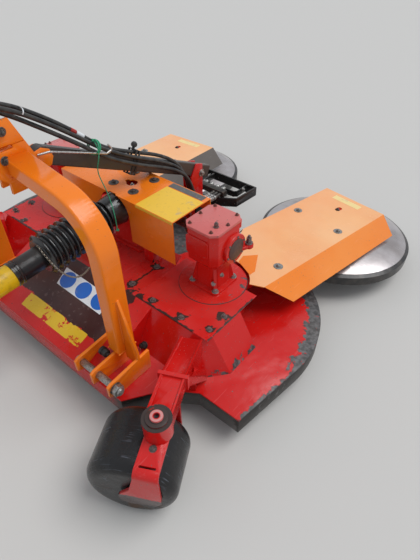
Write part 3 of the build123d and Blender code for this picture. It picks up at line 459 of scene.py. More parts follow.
# Fasteners: hexagon heads on round washers, in bare or zinc-plated steel dulled by dirt. Each row
# is a head's place and the way it points. The two rubber stops in the box's front are made alike.
def finish_of(name, colour, other, rough, metallic=0.0, lump=0.02, depth=0.0003, fine=0.002, coat=0.0):
    """Plain metal, rubber or plastic in two tones that run into each other."""
    finish, tree, shader = new_finish(name)
    tone = between(0.35, 0.7, grain(tree, lump, 6, 0.6))
    link(mixed(tone, colour, other), shader.inputs["Base Color"])
    rough_now = plus(times(grain(tree, lump * 1.7, 4), 0.3), rough - 0.15)
    link(rough_now, shader.inputs["Roughness"])
    shader.inputs["Metallic"].default_value = metallic
    shader.inputs["Coat Weight"].default_value = coat
    bumped(shader, [(grain(tree, fine, 3), depth)])
    return finish


zinc = finish_of("zinc", (0.46, 0.45, 0.43), (0.20, 0.185, 0.165), 0.36, 0.85, 0.006)
bolt_dark = finish_of("bolt_dark", (0.16, 0.145, 0.135), (0.05, 0.04, 0.035), 0.5, 0.6, 0.006)
bolt_worn = finish_of("bolt_worn", (0.26, 0.22, 0.21), (0.10, 0.05, 0.045), 0.42, 0.6, 0.005)
bolt_rusty = finish_of("bolt_rusty", (0.23, 0.085, 0.065), (0.10, 0.045, 0.035), 0.5, 0.3, 0.004)
dark_iron = finish_of("dark_iron", (0.045, 0.038, 0.035), (0.09, 0.06, 0.045), 0.5, 0.3, 0.03)
rubber = finish_of("rubber", (0.013, 0.013, 0.013), (0.04, 0.037, 0.033), 0.55, 0, 0.02)
pin_height_mm = 930


def height(h):
    """Metres up from the top-link pin for millimetres over the ground."""
    return (h - pin_height_mm) / 1000


def spot(x, y, h):
    """A place in metres from millimetres left, behind the gearbox line and over the ground."""
    return Vector((x / 1000, (y + gearbox_line_mm) / 1000, height(h)))


def socket_name(tree, item_name):
    """The name under which a modifier keeps one of its tree's inputs."""
    for item in tree.interface.items_tree:
        if item.name == item_name and item.in_out == "INPUT":
            return item.identifier
    raise KeyError(item_name)


def growth_tree(name, numbers):
    """A tree that takes a mesh, some numbers and a finish, with its first node."""
    tree = bpy.data.node_groups.new(name, "GeometryNodeTree")
    tree.is_modifier = True
    tree.interface.new_socket("Geometry", in_out="INPUT", socket_type="NodeSocketGeometry")
    for item_name in numbers:
        tree.interface.new_socket(item_name, in_out="INPUT", socket_type="NodeSocketFloat")
    tree.interface.new_socket("Finish", in_out="INPUT", socket_type="NodeSocketMaterial")
    tree.interface.new_socket("Geometry", in_out="OUTPUT", socket_type="NodeSocketGeometry")
    return tree, tree.nodes.new("NodeGroupInput")


def tree_ends(tree, given, copies):
    """The last steps of a tree: its copies become plain mesh in the finish."""
    real = tree.nodes.new("GeometryNodeRealizeInstances")
    coat = tree.nodes.new("GeometryNodeSetMaterial")
    link(copies, real.inputs[0])
    link(real.outputs[0], coat.inputs["Geometry"])
    link(given.outputs["Finish"], coat.inputs["Material"])
    link(coat.outputs[0], tree.nodes.new("NodeGroupOutput").inputs[0])


def grown(name, mesh, tree, numbers, finish, body, angle, edge=0.0):
    """A piece that a tree grows from the points of a mesh."""
    piece = placed(name, mesh)
    growth = piece.modifiers.new("growth", "NODES")
    growth.node_group = tree
    for item_name, value in (*numbers, ("Finish", finish)):
        growth[socket_name(tree, item_name)] = value
    if edge:
        rounded(piece, edge, 1)
    return coated(settled(piece, angle), finish, body)


def fastener_tree():
    """The tree that sets a washer, a head and a tip on every point, each with its own turn."""
    tree, given = growth_tree("fasteners", ("Head Radius", "Head Height", "Washer Radius",
                                            "Washer Height", "Tip Radius"))

    def disc(sides, radius, depth, middle):
        shape = tree.nodes.new("GeometryNodeMeshCylinder")
        shape.inputs["Vertices"].default_value = sides
        link(radius, shape.inputs["Radius"])
        link(depth, shape.inputs["Depth"])
        lift = tree.nodes.new("GeometryNodeTransform")
        offset_at = tree.nodes.new("ShaderNodeCombineXYZ")
        link(middle, offset_at.inputs["Z"])
        link(shape.outputs["Mesh"], lift.inputs["Geometry"])
        link(offset_at.outputs[0], lift.inputs["Translation"])
        return lift.outputs["Geometry"]

    washer_h = given.outputs["Washer Height"]
    head_h = given.outputs["Head Height"]
    tip_h = times(head_h, 0.5)
    washer = disc(20, given.outputs["Washer Radius"], washer_h, times(washer_h, 0.5))
    head = disc(6, given.outputs["Head Radius"], head_h, plus(washer_h, times(head_h, 0.5)))
    tip = disc(12, given.outputs["Tip Radius"], tip_h, plus(washer_h, times(head_h, 1.2)))
    join = tree.nodes.new("GeometryNodeJoinGeometry")
    for shape in (washer, head, tip):
        link(shape, join.inputs[0])
    way = tree.nodes.new("GeometryNodeInputNamedAttribute")
    way.data_type = "FLOAT_VECTOR"
    way.inputs["Name"].default_value = "way"
    turn = tree.nodes.new("FunctionNodeAlignRotationToVector")
    turn.axis = "Z"
    link(way.outputs["Attribute"], turn.inputs["Vector"])
    spin = tree.nodes.new("FunctionNodeRandomValue")
    spin.data_type = "FLOAT"
    spin.inputs["Seed"].default_value = 3
    spin_way = tree.nodes.new("ShaderNodeCombineXYZ")
    link(spin.outputs[1], spin_way.inputs["Z"])
    spun = tree.nodes.new("FunctionNodeRotateRotation")
    spun.rotation_space = "LOCAL"
    link(turn.outputs[0], spun.inputs[0])
    link(spin_way.outputs[0], spun.inputs[1])
    place = tree.nodes.new("GeometryNodeInstanceOnPoints")
    link(given.outputs["Geometry"], place.inputs["Points"])
    link(join.outputs[0], place.inputs["Instance"])
    link(spun.outputs[0], place.inputs["Rotation"])
    tree_ends(tree, given, place.outputs[0])
    return tree


bolt_tree = fastener_tree()


def fasteners(name, rows, body, head_r, head_h, washer_r, washer_h, finish, tip_r=0.0):
    """Bolts of one size on one body; every row is (place, way it points)."""
    mesh = mesh_of(name, [place for place, way in rows], [], [])
    way_now = mesh.attributes.new("way", "FLOAT_VECTOR", "POINT")
    for index, (place, way) in enumerate(rows):
        way_now.data[index].vector = tuple(way)
    numbers = (("Head Radius", head_r), ("Head Height", head_h), ("Washer Radius", washer_r),
               ("Washer Height", washer_h), ("Tip Radius", tip_r or head_r * 0.5))
    return grown(name, mesh, bolt_tree, numbers, finish, body, 30, 0.0006)


up = Vector((0, 0, 1))
plate_h = 306
box_h = 302
fasteners("plate_bolts", [(spot(s * x, y, plate_h), up) for s in (1, -1) for x, y in plate_bolt_spots],
          "chassis", 0.0085, 0.007, 0.0125, 0.0025, bolt_worn)
fasteners("box_bolts", [(spot(s * x, y, box_h), up) for s in (1, -1) for x, y in box_bolt_spots],
          "chassis", 0.0085, 0.007, 0.0145, 0.0025, bolt_worn)
plug_at = spot(414, -353, 172)
plug_out = Vector((0, -0.84, 0.55)).normalized()
fasteners("rubber_stops", [(Vector((s * plug_at.x, plug_at.y, plug_at.z)), plug_out) for s in (1, -1)],
          "chassis", 0.013, 0.016, 0.016, 0.004, rubber)


# Apron: the sloping sheet in front of the box. Its middle is rubbed to dark steel, with what is
# left of a yellow sticker near the lip, and a blank white sheet with three blue discs beside it.
def patch(tree, low_x, high_x, low_y, high_y, soft):
    """1 inside a rectangle seen from above, 0 outside it."""
    return times(within(low_x, high_x, along(tree, "X"), soft),
                 within(low_y, high_y, along(tree, "Y"), soft))


def apron_stains(tree, flakes):
    """The middle rubbed dark, and torn bits of yellow film by the lip."""
    ragged = times(flakes, 0.9)
    rub = patch(tree, -0.27, 0.31, 0.070, 0.33, 0.035)
    rubbed = between(0.62, 0.66, plus(times(rub, 0.55), times(ragged, 0.5)))
    label = patch(tree, -0.155, 0.228, 0.024, 0.083, 0.004)
    torn_off = between(0.48, 0.62, grain(tree, 0.06, 8, 0.7))
    held = between(0.50, 0.52, minus(label, times(torn_off, 0.7)))
    worn_dark = mixed(between(0.60, 0.66, grain(tree, 0.02, 5)), (0.017, 0.010, 0.009),
                      (0.07, 0.05, 0.045))
    return [(times(rubbed, 0.95), worn_dark), (held, (0.74, 0.47, 0.02))]


apron_red = paint("apron_red", red, red_faded, chips=0.8, dust=0.15, gloss=0.3, bare=steel_dark,
                  stained_places=apron_stains)
dressed("apron", apron_red, "chassis", 0.002, 2, 14)


def made(name, points, faces, finish, body, edge=0.0, thick=0.0):
    """A piece from its corner points and faces."""
    piece = placed(name, mesh_of(name, points, [], faces))
    if thick:
        wall = piece.modifiers.new("thickness", "SOLIDIFY")
        wall.thickness = thick
        wall.offset = 1.0
    if edge:
        rounded(piece, edge)
    return coated(settled(piece), finish, body)


def sheet_finish(name, colour, scuffed):
    """A stuck-on sheet of printed film: blank, yellowed and scuffed."""
    finish, tree, shader = new_finish(name)
    scuff = between(0.56, 0.68, grain(tree, 0.012, 6, 0.65))
    tone = mixed(times(scuff, 0.45), colour, scuffed)
    dirt = between(0.60, 0.72, grain(tree, 0.04, 6))
    link(mixed(times(dirt, 0.5), tone, soil_dust), shader.inputs["Base Color"])
    link(plus(times(grain(tree, 0.03, 4), 0.3), 0.22), shader.inputs["Roughness"])
    bumped(shader, [(grain(tree, 0.02, 3), 0.0006)])
    return finish


sheet_white = sheet_finish("sheet_white", (0.72, 0.74, 0.76), (0.5, 0.5, 0.5))
sheet_blue = sheet_finish("sheet_blue", (0.02, 0.13, 0.50), (0.05, 0.18, 0.5))
film = 0.0004
apron_lip_y = -577
apron_top_y = -268
apron_lip_h = 165.8
apron_rise = 137


def on_apron(x, y):
    """A place on the apron's slope, just proud of it."""
    return spot(x, y, apron_lip_h + apron_rise * (y - apron_lip_y) / (apron_top_y - apron_lip_y))


sheet_corners = [on_apron(x, y) for x, y in ((-76, -392), (212, -396), (203, -322), (-92, -318))]
made("white_sheet", sheet_corners, [(0, 1, 2, 3)], sheet_white, "chassis", 0, film)
disc_y = -357
disc_half_x = 41
disc_half_y = 35
steps = 32
for index, x in enumerate((-38, 66, 168)):
    turns = [2 * pi * i / steps for i in range(steps)]
    disc = [on_apron(x + disc_half_x * cos(a), disc_y + disc_half_y * sin(a)) + Vector((0, 0, 0.0006))
            for a in turns]
    made("blue_disc_%d" % index, disc, [tuple(range(steps))], sheet_blue, "chassis", 0, 0.0003)


# Gearboxes: rough castings in thick red enamel, with bolted lids, a round cover on the outer bore,
# a breather, level plugs and lifting lugs. Below the flange the disc is worn by grease and dirt.
def casting_wear(tree):
    """More wear on the disc below the flange, outside the neck."""
    low = rest(between(-0.6225, -0.6195, along(tree, "Z")))
    across = minus(off_middle(tree), rotor_x)
    outer = between(0.02, 0.12, across)
    return times(times(low, outer), 0.3)


casting_red = paint("casting_red", (0.58, 0.008, 0.004), (0.60, 0.022, 0.016), chips=0.5, dust=0.12,
                    gloss=0.24, fade=0.4, worn_places=casting_wear)
# The lids' red is paler and pinker than the castings': faded gloss paint with a painted reflection of
# the bright sky mixed into its colour.
lid_red_and_sheen = paint("lid_red_and_sheen", (0.60, 0.13, 0.12), (0.66, 0.20, 0.19), chips=0.8, dust=0.3, gloss=0.26)
for casting in ("gearbox_left", "gearbox_right"):
    dressed(casting, casting_red, "chassis", 0.005, 3)
dressed("centre_gearbox", casting_red, "chassis", 0.004, 2)
dressed("gearbox_lids", lid_red_and_sheen, "chassis", 0.001)
cap_brown = finish_of("cap_brown", (0.10, 0.055, 0.045), (0.05, 0.03, 0.026), 0.4, 0.3, 0.02)
dressed("rear_upright", box_red, "chassis", 0.0015)

lid_spots = ((-53, 76), (-64, 2), (-53, -72), (47, -72), (64, 5), (50, 78))
lid_h = 608
lid_rows = [(spot(s * (rotor_mm + x), y, lid_h), up) for s in (1, -1) for x, y in lid_spots]
fasteners("lid_bolts", lid_rows, "chassis", 0.0055, 0.006, 0.0078, 0.0015, bolt_rusty)
fasteners("breathers", [(spot(s * 514, -32, lid_h), up) for s in (1, -1)],
          "chassis", 0.0085, 0.013, 0.010, 0.004, bolt_worn)
flange_rows = [(spot(s * (rotor_mm + x), y, 320), up)
               for s in (1, -1) for x in (-59, 59) for y in (-59, 59)]
fasteners("flange_bolts", flange_rows, "chassis", 0.0105, 0.009, 0.0145, 0.003, zinc)
cap_y = 27
cap_h = 497
screw_r = 52
cap_rows = [(spot(s * 564, cap_y + screw_r * cos(radians(a)), cap_h + screw_r * sin(radians(a))),
             Vector((s, 0, 0))) for s in (1, -1) for a in range(20, 380, 60)]
fasteners("cap_screws", cap_rows, "chassis", 0.0045, 0.003, 0.005, 0.0005, bolt_worn)
plug_rows = [(spot(s * 552, -45, 410), Vector((s, 0, 0))) for s in (1, -1)]
plug_rows += [(spot(s * 524, -58, 356), Vector((s * 0.5, -0.8, 0.3))) for s in (1, -1)]
fasteners("level_plugs", plug_rows, "chassis", 0.008, 0.006, 0.010, 0.002, zinc)
lug_rows = [(spot(s * 567, 108, 480), up) for s in (1, -1)]
fasteners("lug_bolts", lug_rows, "chassis", 0.011, 0.022, 0.016, 0.006, bolt_worn)


def ring_of(centre, across, third, radius, steps):
    """Points round a circle."""
    return [centre + (across * cos(2 * pi * i / steps) + third * sin(2 * pi * i / steps)) * radius
            for i in range(steps)]


def skin(name, rings, finish, body, edge=0.0):
    """A closed piece over rings that have the same number of points."""
    steps = len(rings[0])
    faces = [(row * steps + i, row * steps + (i + 1) % steps, (row + 1) * steps + (i + 1) % steps,
              (row + 1) * steps + i) for row in range(len(rings) - 1) for i in range(steps)]
    faces.append(tuple(reversed(range(steps))))
    faces.append(tuple((len(rings) - 1) * steps + i for i in range(steps)))
    return made(name, [point for ring in rings for point in ring], faces, finish, body, edge)


def turned(name, base, way, profile, finish, body, steps=28):
    """A turned piece from (distance, radius) pairs along a line, closed at both ends."""
    way = Vector(way).normalized()
    across = way.orthogonal().normalized()
    third = way.cross(across)
    return skin(name, [ring_of(base + way * run, across, third, r, steps) for run, r in profile],
                finish, body)


both_sides = ((1, "left"), (-1, "right"))
for s, side in both_sides:
    outward = Vector((s, 0, 0))
    turned("cap_ring_" + side, spot(s * 540, cap_y, cap_h), outward,
           [(0, 0.060), (0.020, 0.062), (0.024, 0.060), (0.0245, 0.046)], casting_red, "chassis", 56)
    cap = turned("cap_plate_" + side, spot(s * 563, cap_y, cap_h), outward,
                 [(0, 0.0445), (0.0035, 0.0445), (0.0045, 0.0425)], cap_brown, "chassis", 56)
    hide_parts("gearbox_caps")
    turned("lug_" + side, spot(s * 567, 108, 462), up,
           [(0, 0.017), (0.003, 0.019), (0.015, 0.019), (0.018, 0.017)], casting_red, "chassis", 28)
    lug_web = [spot(s * x, y, h) for x, y in ((540, 60), (562, 60), (580, 100), (552, 116))
               for h in (464, 478)]
    web_faces = [(0, 2, 4, 6), (7, 5, 3, 1), (0, 1, 3, 2), (2, 3, 5, 4), (4, 5, 7, 6), (6, 7, 1, 0)]
    made("lug_web_" + side, lug_web, web_faces, casting_red, "chassis", 0.002)


def ring_run(name, centre, radius, finish, body, thick=0.0022, steps=48):
    """A thin, uneven bead laid round a circle on a flat."""
    mesh = bpy.data.meshes.new(name)
    work = bmesh.new()
    rim = ((-1, -0.4), (-0.4, 0.7), (0.4, 0.7), (1, -0.4))
    rows = []
    for i in range(steps):
        a = 2 * pi * i / steps
        out = Vector((cos(a), sin(a), 0))
        wander = 1 + 0.35 * sin(5 * a + 1) * sin(11 * a)
        places = [centre + out * (radius + thick * wander * dx) + up * (thick * 0.8 * dz)
                  for dx, dz in rim]
        rows.append([work.verts.new(place) for place in places])
    for i in range(steps):
        here, after = rows[i], rows[(i + 1) % steps]
        for j in range(4):
            work.faces.new((here[j], after[j], after[(j + 1) % 4], here[(j + 1) % 4]))
    bmesh.ops.recalc_face_normals(work, faces=work.faces)
    work.to_mesh(mesh)
    work.free()
    return coated(settled(placed(name, mesh), 60), finish, body)


grime = finish_of("grime", (0.03, 0.018, 0.015), (0.07, 0.03, 0.025), 0.7, 0, 0.01)
for s, side in both_sides:
    ring_run("ring_seam_" + side, spot(s * rotor_mm, 0, 306.4), 0.1415, grime, "chassis")

# Beam cover: folded orange sheet over the cross shafts, held by four bolts on broad washers round
# a keyhole. The yellow sheet stuck over its front fold is blank and scuffed, with a grey strip.
orange = (0.87, 0.20, 0.010)
orange_faded = (0.90, 0.31, 0.06)
cover_paint = paint("cover_paint", orange, orange_faded, chips=0.4, dust=0.12, gloss=0.26, fade=0.35)
dressed("beam_cover", cover_paint, "chassis", 0.0015)
cover_rows = [(spot(x, 43 + y, 578), up) for x in (-61, 61) for y in (-62, 62)]
fasteners("cover_bolts", cover_rows, "chassis", 0.010, 0.008, 0.023, 0.002, bolt_dark)
fasteners("keyhole_bolt", [(spot(0, 31, 554), up)], "chassis", 0.009, 0.012, 0.012, 0.004, zinc)
sheet_yellow = sheet_finish("sheet_yellow", (0.84, 0.52, 0.045), (0.50, 0.30, 0.03))
sheet_grey = sheet_finish("sheet_grey", (0.10, 0.095, 0.09), (0.35, 0.33, 0.30))
sheet_pale = sheet_finish("sheet_pale", (0.86, 0.66, 0.28), (0.88, 0.5, 0.2))
cover_h = 578.4
fold = ((102, cover_h), (0, cover_h), (-80, cover_h), (-83.4, 575), (-83.4, 566))
fold_points = [spot(x, y, h) for x in (139, 240, 341) for y, h in fold]
fold_faces = [(i * 5 + j, i * 5 + j + 1, (i + 1) * 5 + j + 1, (i + 1) * 5 + j)
              for i in range(2) for j in range(4)]
made("yellow_sheet", fold_points, fold_faces, sheet_yellow, "chassis", 0, film)
grey_points = [spot(x, y, cover_h) for x, y in ((142, 107), (326, 107), (326, 140), (142, 140))]
made("grey_strip", grey_points, [(0, 1, 2, 3)], sheet_grey, "chassis", 0, film)

# Hitch arch: a rectangular tube bent in a press, with the mast plates, the brace's lugs and the
# link plates welded to it, all in orange gloss that is chipped only at the clevises.
arch_orange = paint("arch_orange", (0.87, 0.20, 0.008), (0.90, 0.27, 0.03), chips=0.35, dust=0.10,
                    gloss=0.20, fade=0.3)
for node, edge in (("hitch_arch", 0), ("mast_plates", 0.002), ("link_plates", 0.0015),
                   ("coupler_holder", 0.001)):
    dressed(node, arch_orange, "chassis", edge)
mast_rows = [(spot(s * 38, y, h), Vector((s, 0, 0)))
             for s in (1, -1) for y, h in ((-469, 977), (-486, 890))]
fasteners("mast_bolts", mast_rows, "chassis", 0.010, 0.009, 0.015, 0.003, bolt_dark)
for s, side in both_sides:
    dressed("link_pin_" + side, zinc, "chassis", 0.002)
fasteners("pin_washers", [(spot(s * 496.2, -572, 205), Vector((s, 0, 0))) for s in (1, -1)],
          "chassis", 0.019, 0.0035, 0.024, 0.004, bolt_dark, 0.015)
fasteners("link_stops", [(spot(s * 352, -505, 240), Vector((s, 0, 0))) for s in (1, -1)],
          "chassis", 0.016, 0.02, 0.017, 0.012, rubber)


def bead(name, runs, body, finish, width=0.004, pitch=0.0035):
    """Weld beads along straight runs: overlapping ripples laid one after the other."""
    tree, given = growth_tree(name, ("Ripple Radius", "Ripple Pitch"))
    curve = tree.nodes.new("GeometryNodeMeshToCurve")
    even = tree.nodes.new("GeometryNodeCurveToPoints")
    even.mode = "LENGTH"
    ripple = tree.nodes.new("GeometryNodeMeshIcoSphere")
    ripple.inputs["Subdivisions"].default_value = 1
    place = tree.nodes.new("GeometryNodeInstanceOnPoints")
    place.inputs["Scale"].default_value = (1, 1, 0.8)
    link(given.outputs["Geometry"], curve.inputs[0])
    link(curve.outputs[0], even.inputs["Curve"])
    link(given.outputs["Ripple Pitch"], even.inputs["Length"])
    link(given.outputs["Ripple Radius"], ripple.inputs["Radius"])
    link(even.outputs["Points"], place.inputs["Points"])
    link(even.outputs["Rotation"], place.inputs["Rotation"])
    link(ripple.outputs["Mesh"], place.inputs["Instance"])
    tree_ends(tree, given, place.outputs[0])
    points = []
    edges = []
    for run in runs:
        for here, after in zip(run, run[1:]):
            edges.append((len(points), len(points) + 1))
            points += [here, after]
    mesh = mesh_of(name, points, edges, [])
    numbers = (("Ripple Radius", width), ("Ripple Pitch", pitch))
    return grown(name, mesh, tree, numbers, finish, body, 60)


leg_runs = []
for s in (1, -1):
    for x in (370, 430):
        leg_runs.append([spot(s * x, -485, 250), spot(s * x, -405, 250)])
    leg_runs.append([spot(s * 430, -456, 295), spot(s * 430, -456, 500)])
bead("leg_welds", leg_runs, "chassis", arch_orange)
bead("mast_welds", [[spot(s * 38, -484, 829), spot(s * 38, -406, 829)] for s in (1, -1)],
     "chassis", arch_orange, 0.005)

# Brace: a dark rectangular tube from the mast to the upright behind the cover, bolted at the rear,
# with its rounded front end over the lugs and two rubber straps that end in a knob on its top.
boom_brown = paint("boom_brown", (0.055, 0.042, 0.036), (0.10, 0.075, 0.06), chips=0.6, dust=0.3,
                   gloss=0.38, bare=(0.12, 0.06, 0.035))
dressed("brace", boom_brown, "chassis", 0)
fasteners("brace_bolts", [(spot(s * 28, 456, 459), Vector((s, 0, 0))) for s in (1, -1)],
          "chassis", 0.012, 0.009, 0.019, 0.003, zinc)


def faces_out(piece):
    """The piece with all its faces turned outwards."""
    work = bmesh.new()
    work.from_mesh(piece.data)
    bmesh.ops.recalc_face_normals(work, faces=work.faces)
    work.to_mesh(piece.data)
    work.free()
    return piece


for s, side in both_sides:
    outline = ((-404, 830), (-404, 868), (-350, 880), (-322, 866), (-314, 838), (-326, 812),
               (-350, 806))
    rings = [[spot(s * x, y, h) for y, h in outline] for x in (20.2, 26)]
    lug = faces_out(skin("brace_lug_" + side, rings, arch_orange, "chassis", 0.001))
    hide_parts("brace_lugs")
boom_dir = Vector((0, 0.8917, -0.4526))
boom_top = Vector((0, 0.4526, 0.8917))
boom_start = spot(0, -312, 833) - Vector((0, 0.040, -0.019))


def on_boom(run, across, rise):
    """A place on the brace: along it, to the left and up from its middle line."""
    return boom_start + boom_dir * run + Vector((across, 0, 0)) + boom_top * rise


def band(name, run, wide, finish, half_w=0.0235, half_h=0.0345, lift=0.0):
    """A strap round the brace."""
    ring = []
    for wall in (0, 0.003):
        w, low, top = half_w - wall, wall - half_h, half_h + lift - wall
        ring += [(-w, low), (w, low), (w, top), (-w, top)]
    points = [on_boom(run + side * wide / 2, x, z) for side in (-1, 1) for x, z in ring]
    faces = []
    for j in range(4):
        k = (j + 1) % 4
        faces += [(j, k, 8 + k, 8 + j), (4 + k, 4 + j, 12 + j, 12 + k), (k, j, 4 + j, 4 + k),
                  (8 + j, 8 + k, 12 + k, 12 + j)]
    return made(name, points, faces, finish, "chassis", 0.001)


def hoop(name, centre, way, half_w, half_h, wide, thick, finish, steps=30):
    """A strap or tie pulled round a bundle, flat across the line it holds."""
    way = Vector(way).normalized()
    across = Vector((1, 0, 0))
    rise = across.cross(way).normalized()
    points = []
    faces = []
    for i in range(steps):
        a = 2 * pi * i / steps
        for grow, side in ((0, -1), (1, -1), (1, 1), (0, 1)):
            w = half_w + grow * thick
            h = half_h + grow * thick
            points.append(centre + across * w * cos(a) + rise * h * sin(a) + way * side * wide / 2)
    for i in range(steps):
        k = (i + 1) % steps
        for j in range(4):
            faces.append((i * 4 + j, i * 4 + (j + 1) % 4, k * 4 + (j + 1) % 4, k * 4 + j))
    return faces_out(made(name, points, faces, finish, "chassis"))


turned("brace_nose", on_boom(0.004, -0.0195, 0), Vector((1, 0, 0)), [(0, 0.0305), (0.039, 0.0305)],
       boom_brown, "chassis", 36)
band("rear_strap", 0.428, 0.012, rubber, lift=0.036)
band("rear_strap_second", 0.446, 0.010, rubber, lift=0.034)
turned("strap_knob", on_boom(0.437, -0.010, 0.064), boom_top,
       [(0, 0.006), (0.012, 0.006), (0.014, 0.011), (0.021, 0.0135), (0.029, 0.0115), (0.034, 0.005)],
       rubber, "chassis")
hose_rod_finish = finish_of("bright_wire", (0.62, 0.60, 0.57), (0.38, 0.35, 0.32), 0.3, 0.9, 0.01)
dressed("hose_rod", hose_rod_finish, "chassis", 0)

# Hoses: three rubber hydraulic hoses with a steel braid, from crimped fittings in the block on the
# rear frame, over the brace, to quick couplers parked in a holder on the mast's front.
hose_black = finish_of("hose_black", (0.012, 0.012, 0.013), (0.05, 0.046, 0.040), 0.42, 0, 0.03, 0.0004,
                       0.0025, coat=0.1)
block_iron = finish_of("block_iron", (0.035, 0.032, 0.030), (0.10, 0.085, 0.07), 0.45, 0.5, 0.015)
dressed("hose_block", block_iron, "chassis", 0.001)
dressed("quick_couplers", zinc, "chassis", 0.0012)
hose_routes = {
    "hose_upper": (1.371, [
        (40, 500, 316), (40, 410, 318), (40, 352, 400), (34, 330, 500), (30, 280, 586),
        (14, 190, 650), (8, 60, 708), (6, -90, 779), (4, -190, 872), (2, -300, 962),
        (0, -430, 1046), (0, -560, 1088)]),
    "hose_middle": (1.359, [
        (60, 500, 316), (60, 408, 320), (57, 350, 400), (50, 326, 497), (44, 272, 572),
        (34, 180, 630), (30, 55, 690), (26, -95, 777), (24, -195, 860), (22, -305, 948),
        (28, -432, 1036), (34, -560, 1088)]),
    "hose_lower": (1.357, [
        (80, 500, 316), (80, 406, 322), (74, 348, 402), (66, 322, 495), (58, 262, 560),
        (48, 170, 610), (44, 50, 665), (38, -100, 752), (34, -200, 838), (20, -310, 924),
        (-10, -432, 1016), (-34, -560, 1088)]),
}


def smooth_cord(name, points, radius, finish):
    """A cord as one smooth spline with the route's points as its control points."""
    curve = bpy.data.curves.new(name, "CURVE")
    curve.dimensions = "3D"
    spline = curve.splines.new("NURBS")
    spline.points.add(len(points) - 1)
    for control, place in zip(spline.points, points):
        control.co = (*spot(*place), 1)
    spline.order_u = 3
    spline.use_endpoint_u = True
    curve.resolution_u = 14
    curve.bevel_depth = radius
    curve.bevel_resolution = 5
    curve.use_fill_caps = True
    curve.materials.append(finish)
    return placed(name, curve)


def line_of(cord):
    """The points of a cord's middle line, read from its spline."""
    bare = cord.data.copy()
    bare.bevel_depth = 0
    holder = placed("middle_line", bare)
    line = [vertex.co.copy() for vertex in worked_out(holder).vertices]
    bpy.data.objects.remove(holder)
    return line


def place_on(line, run):
    """The point and direction a certain way along a line."""
    done = 0
    for here, after in zip(line, line[1:]):
        step = (after - here).length
        if done + step >= run:
            return here.lerp(after, (run - done) / step), (after - here).normalized()
        done += step
    return line[-1].copy(), (line[-1] - line[-2]).normalized()


def ferrule(name, line, start, profile, finish, steps=20):
    """A sleeve crimped on a hose: its rings follow the hose's own line."""
    rings = []
    for run, r in profile:
        centre, way = place_on(line, start + run)
        side = way.cross(Vector((1, 0.01, 0))).normalized()
        rings.append(ring_of(centre, side, way.cross(side), r, steps))
    return faces_out(skin(name, rings, finish, "chassis"))


crimp = [(0.0, 0.0125), (0.012, 0.0125), (0.013, 0.0100), (0.017, 0.0100), (0.018, 0.0115),
         (0.026, 0.0115), (0.027, 0.0105), (0.030, 0.0105), (0.031, 0.0115), (0.040, 0.0115),
         (0.044, 0.0098), (0.046, 0.0085)]
top_crimp = [(0.0, 0.0085), (0.004, 0.0115), (0.032, 0.0115), (0.034, 0.0095), (0.044, 0.0095)]
hose_lines = {}
for name, (hose_length, points) in hose_routes.items():
    hose = smooth_cord(name + "_shown", points, 0.008, hose_black)
    hose_lines[name] = line_of(hose)
    low_end = ferrule(name + "_crimp", hose_lines[name], 0.001, crimp, zinc)
    total = sum((b - a).length for a, b in zip(hose_lines[name], hose_lines[name][1:]))
    high_end = ferrule(name + "_top_crimp", hose_lines[name], total - 0.060, top_crimp, zinc)
    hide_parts(name)
    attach(hose, "chassis")
ferrule("hose_mark", hose_lines["hose_upper"], 0.905,
        [(0, 0.0086), (0.001, 0.0088), (0.034, 0.0088), (0.035, 0.0086)], sheet_white)
ferrule("hose_mark_red", hose_lines["hose_upper"], 0.942,
        [(0, 0.0086), (0.001, 0.0088), (0.024, 0.0088), (0.025, 0.0086)],
        finish_of("mark_red", (0.5, 0.02, 0.01), (0.3, 0.02, 0.015), 0.4))
hoop("hose_tie", spot(12, -382, 1007), Vector((0, -0.87, 0.5)), 0.0225, 0.0135, 0.004, 0.0010,
     sheet_white)

# Twine: green baler twine tied round the hoses and the wire, hanging down to the guard cone.
twine_green = finish_of("twine_green", (0.02, 0.28, 0.13), (0.06, 0.40, 0.22), 0.7, 0, 0.004, 0.0008,
                        0.0012)
twine_route = [
    (24, -140, 830), (44, -146, 825), (60, -152, 802), (59, -158, 775), (47, -160, 747),
    (35, -155, 713), (30, -144, 676), (33, -132, 632), (37, -125, 592), (47, -127, 562),
    (63, -134, 534), (73, -139, 498), (75, -141, 462),
]
twine = smooth_cord("twine_shown", twine_route, 0.002, twine_green)
twine_line = line_of(twine)


def knot(name, centre, size, finish):
    """A small overhand knot: the strand crosses itself three times in a ball."""
    steps = 60
    path = []
    for i in range(steps):
        a = 2 * pi * i / steps
        path.append(centre + Vector((sin(a) + 2 * sin(2 * a), cos(a) - 2 * cos(2 * a),
                                     -1.3 * sin(3 * a))) * size / 3)
    curve = bpy.data.curves.new(name, "CURVE")
    curve.dimensions = "3D"
    spline = curve.splines.new("POLY")
    spline.points.add(steps - 1)
    for control, place in zip(spline.points, path):
        control.co = (*place, 1)
    spline.use_cyclic_u = True
    curve.bevel_depth = 0.0021
    curve.bevel_resolution = 2
    strand = placed(name, curve)
    mesh = worked_out(strand)
    bpy.data.objects.remove(strand)
    return coated(settled(placed(name, mesh), 60), finish, "chassis")


top_knot = knot("twine_knot", twine_line[0] + Vector((0, 0, 0.002)), 0.008, twine_green)
low_knot = knot("twine_end_knot", twine_line[-1] - Vector((0, 0, 0.004)), 0.006, twine_green)
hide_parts("twine")
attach(twine, "chassis")
hose_fall = Vector((0, 0.90, -0.44))
for turn_name, turn_at in (("twine_turn", (27, -150, 812)), ("twine_turn_second", (27, -143, 809))):
    hoop(turn_name, spot(*turn_at), hose_fall, 0.030, 0.025, 0.004, 0.0035, twine_green)

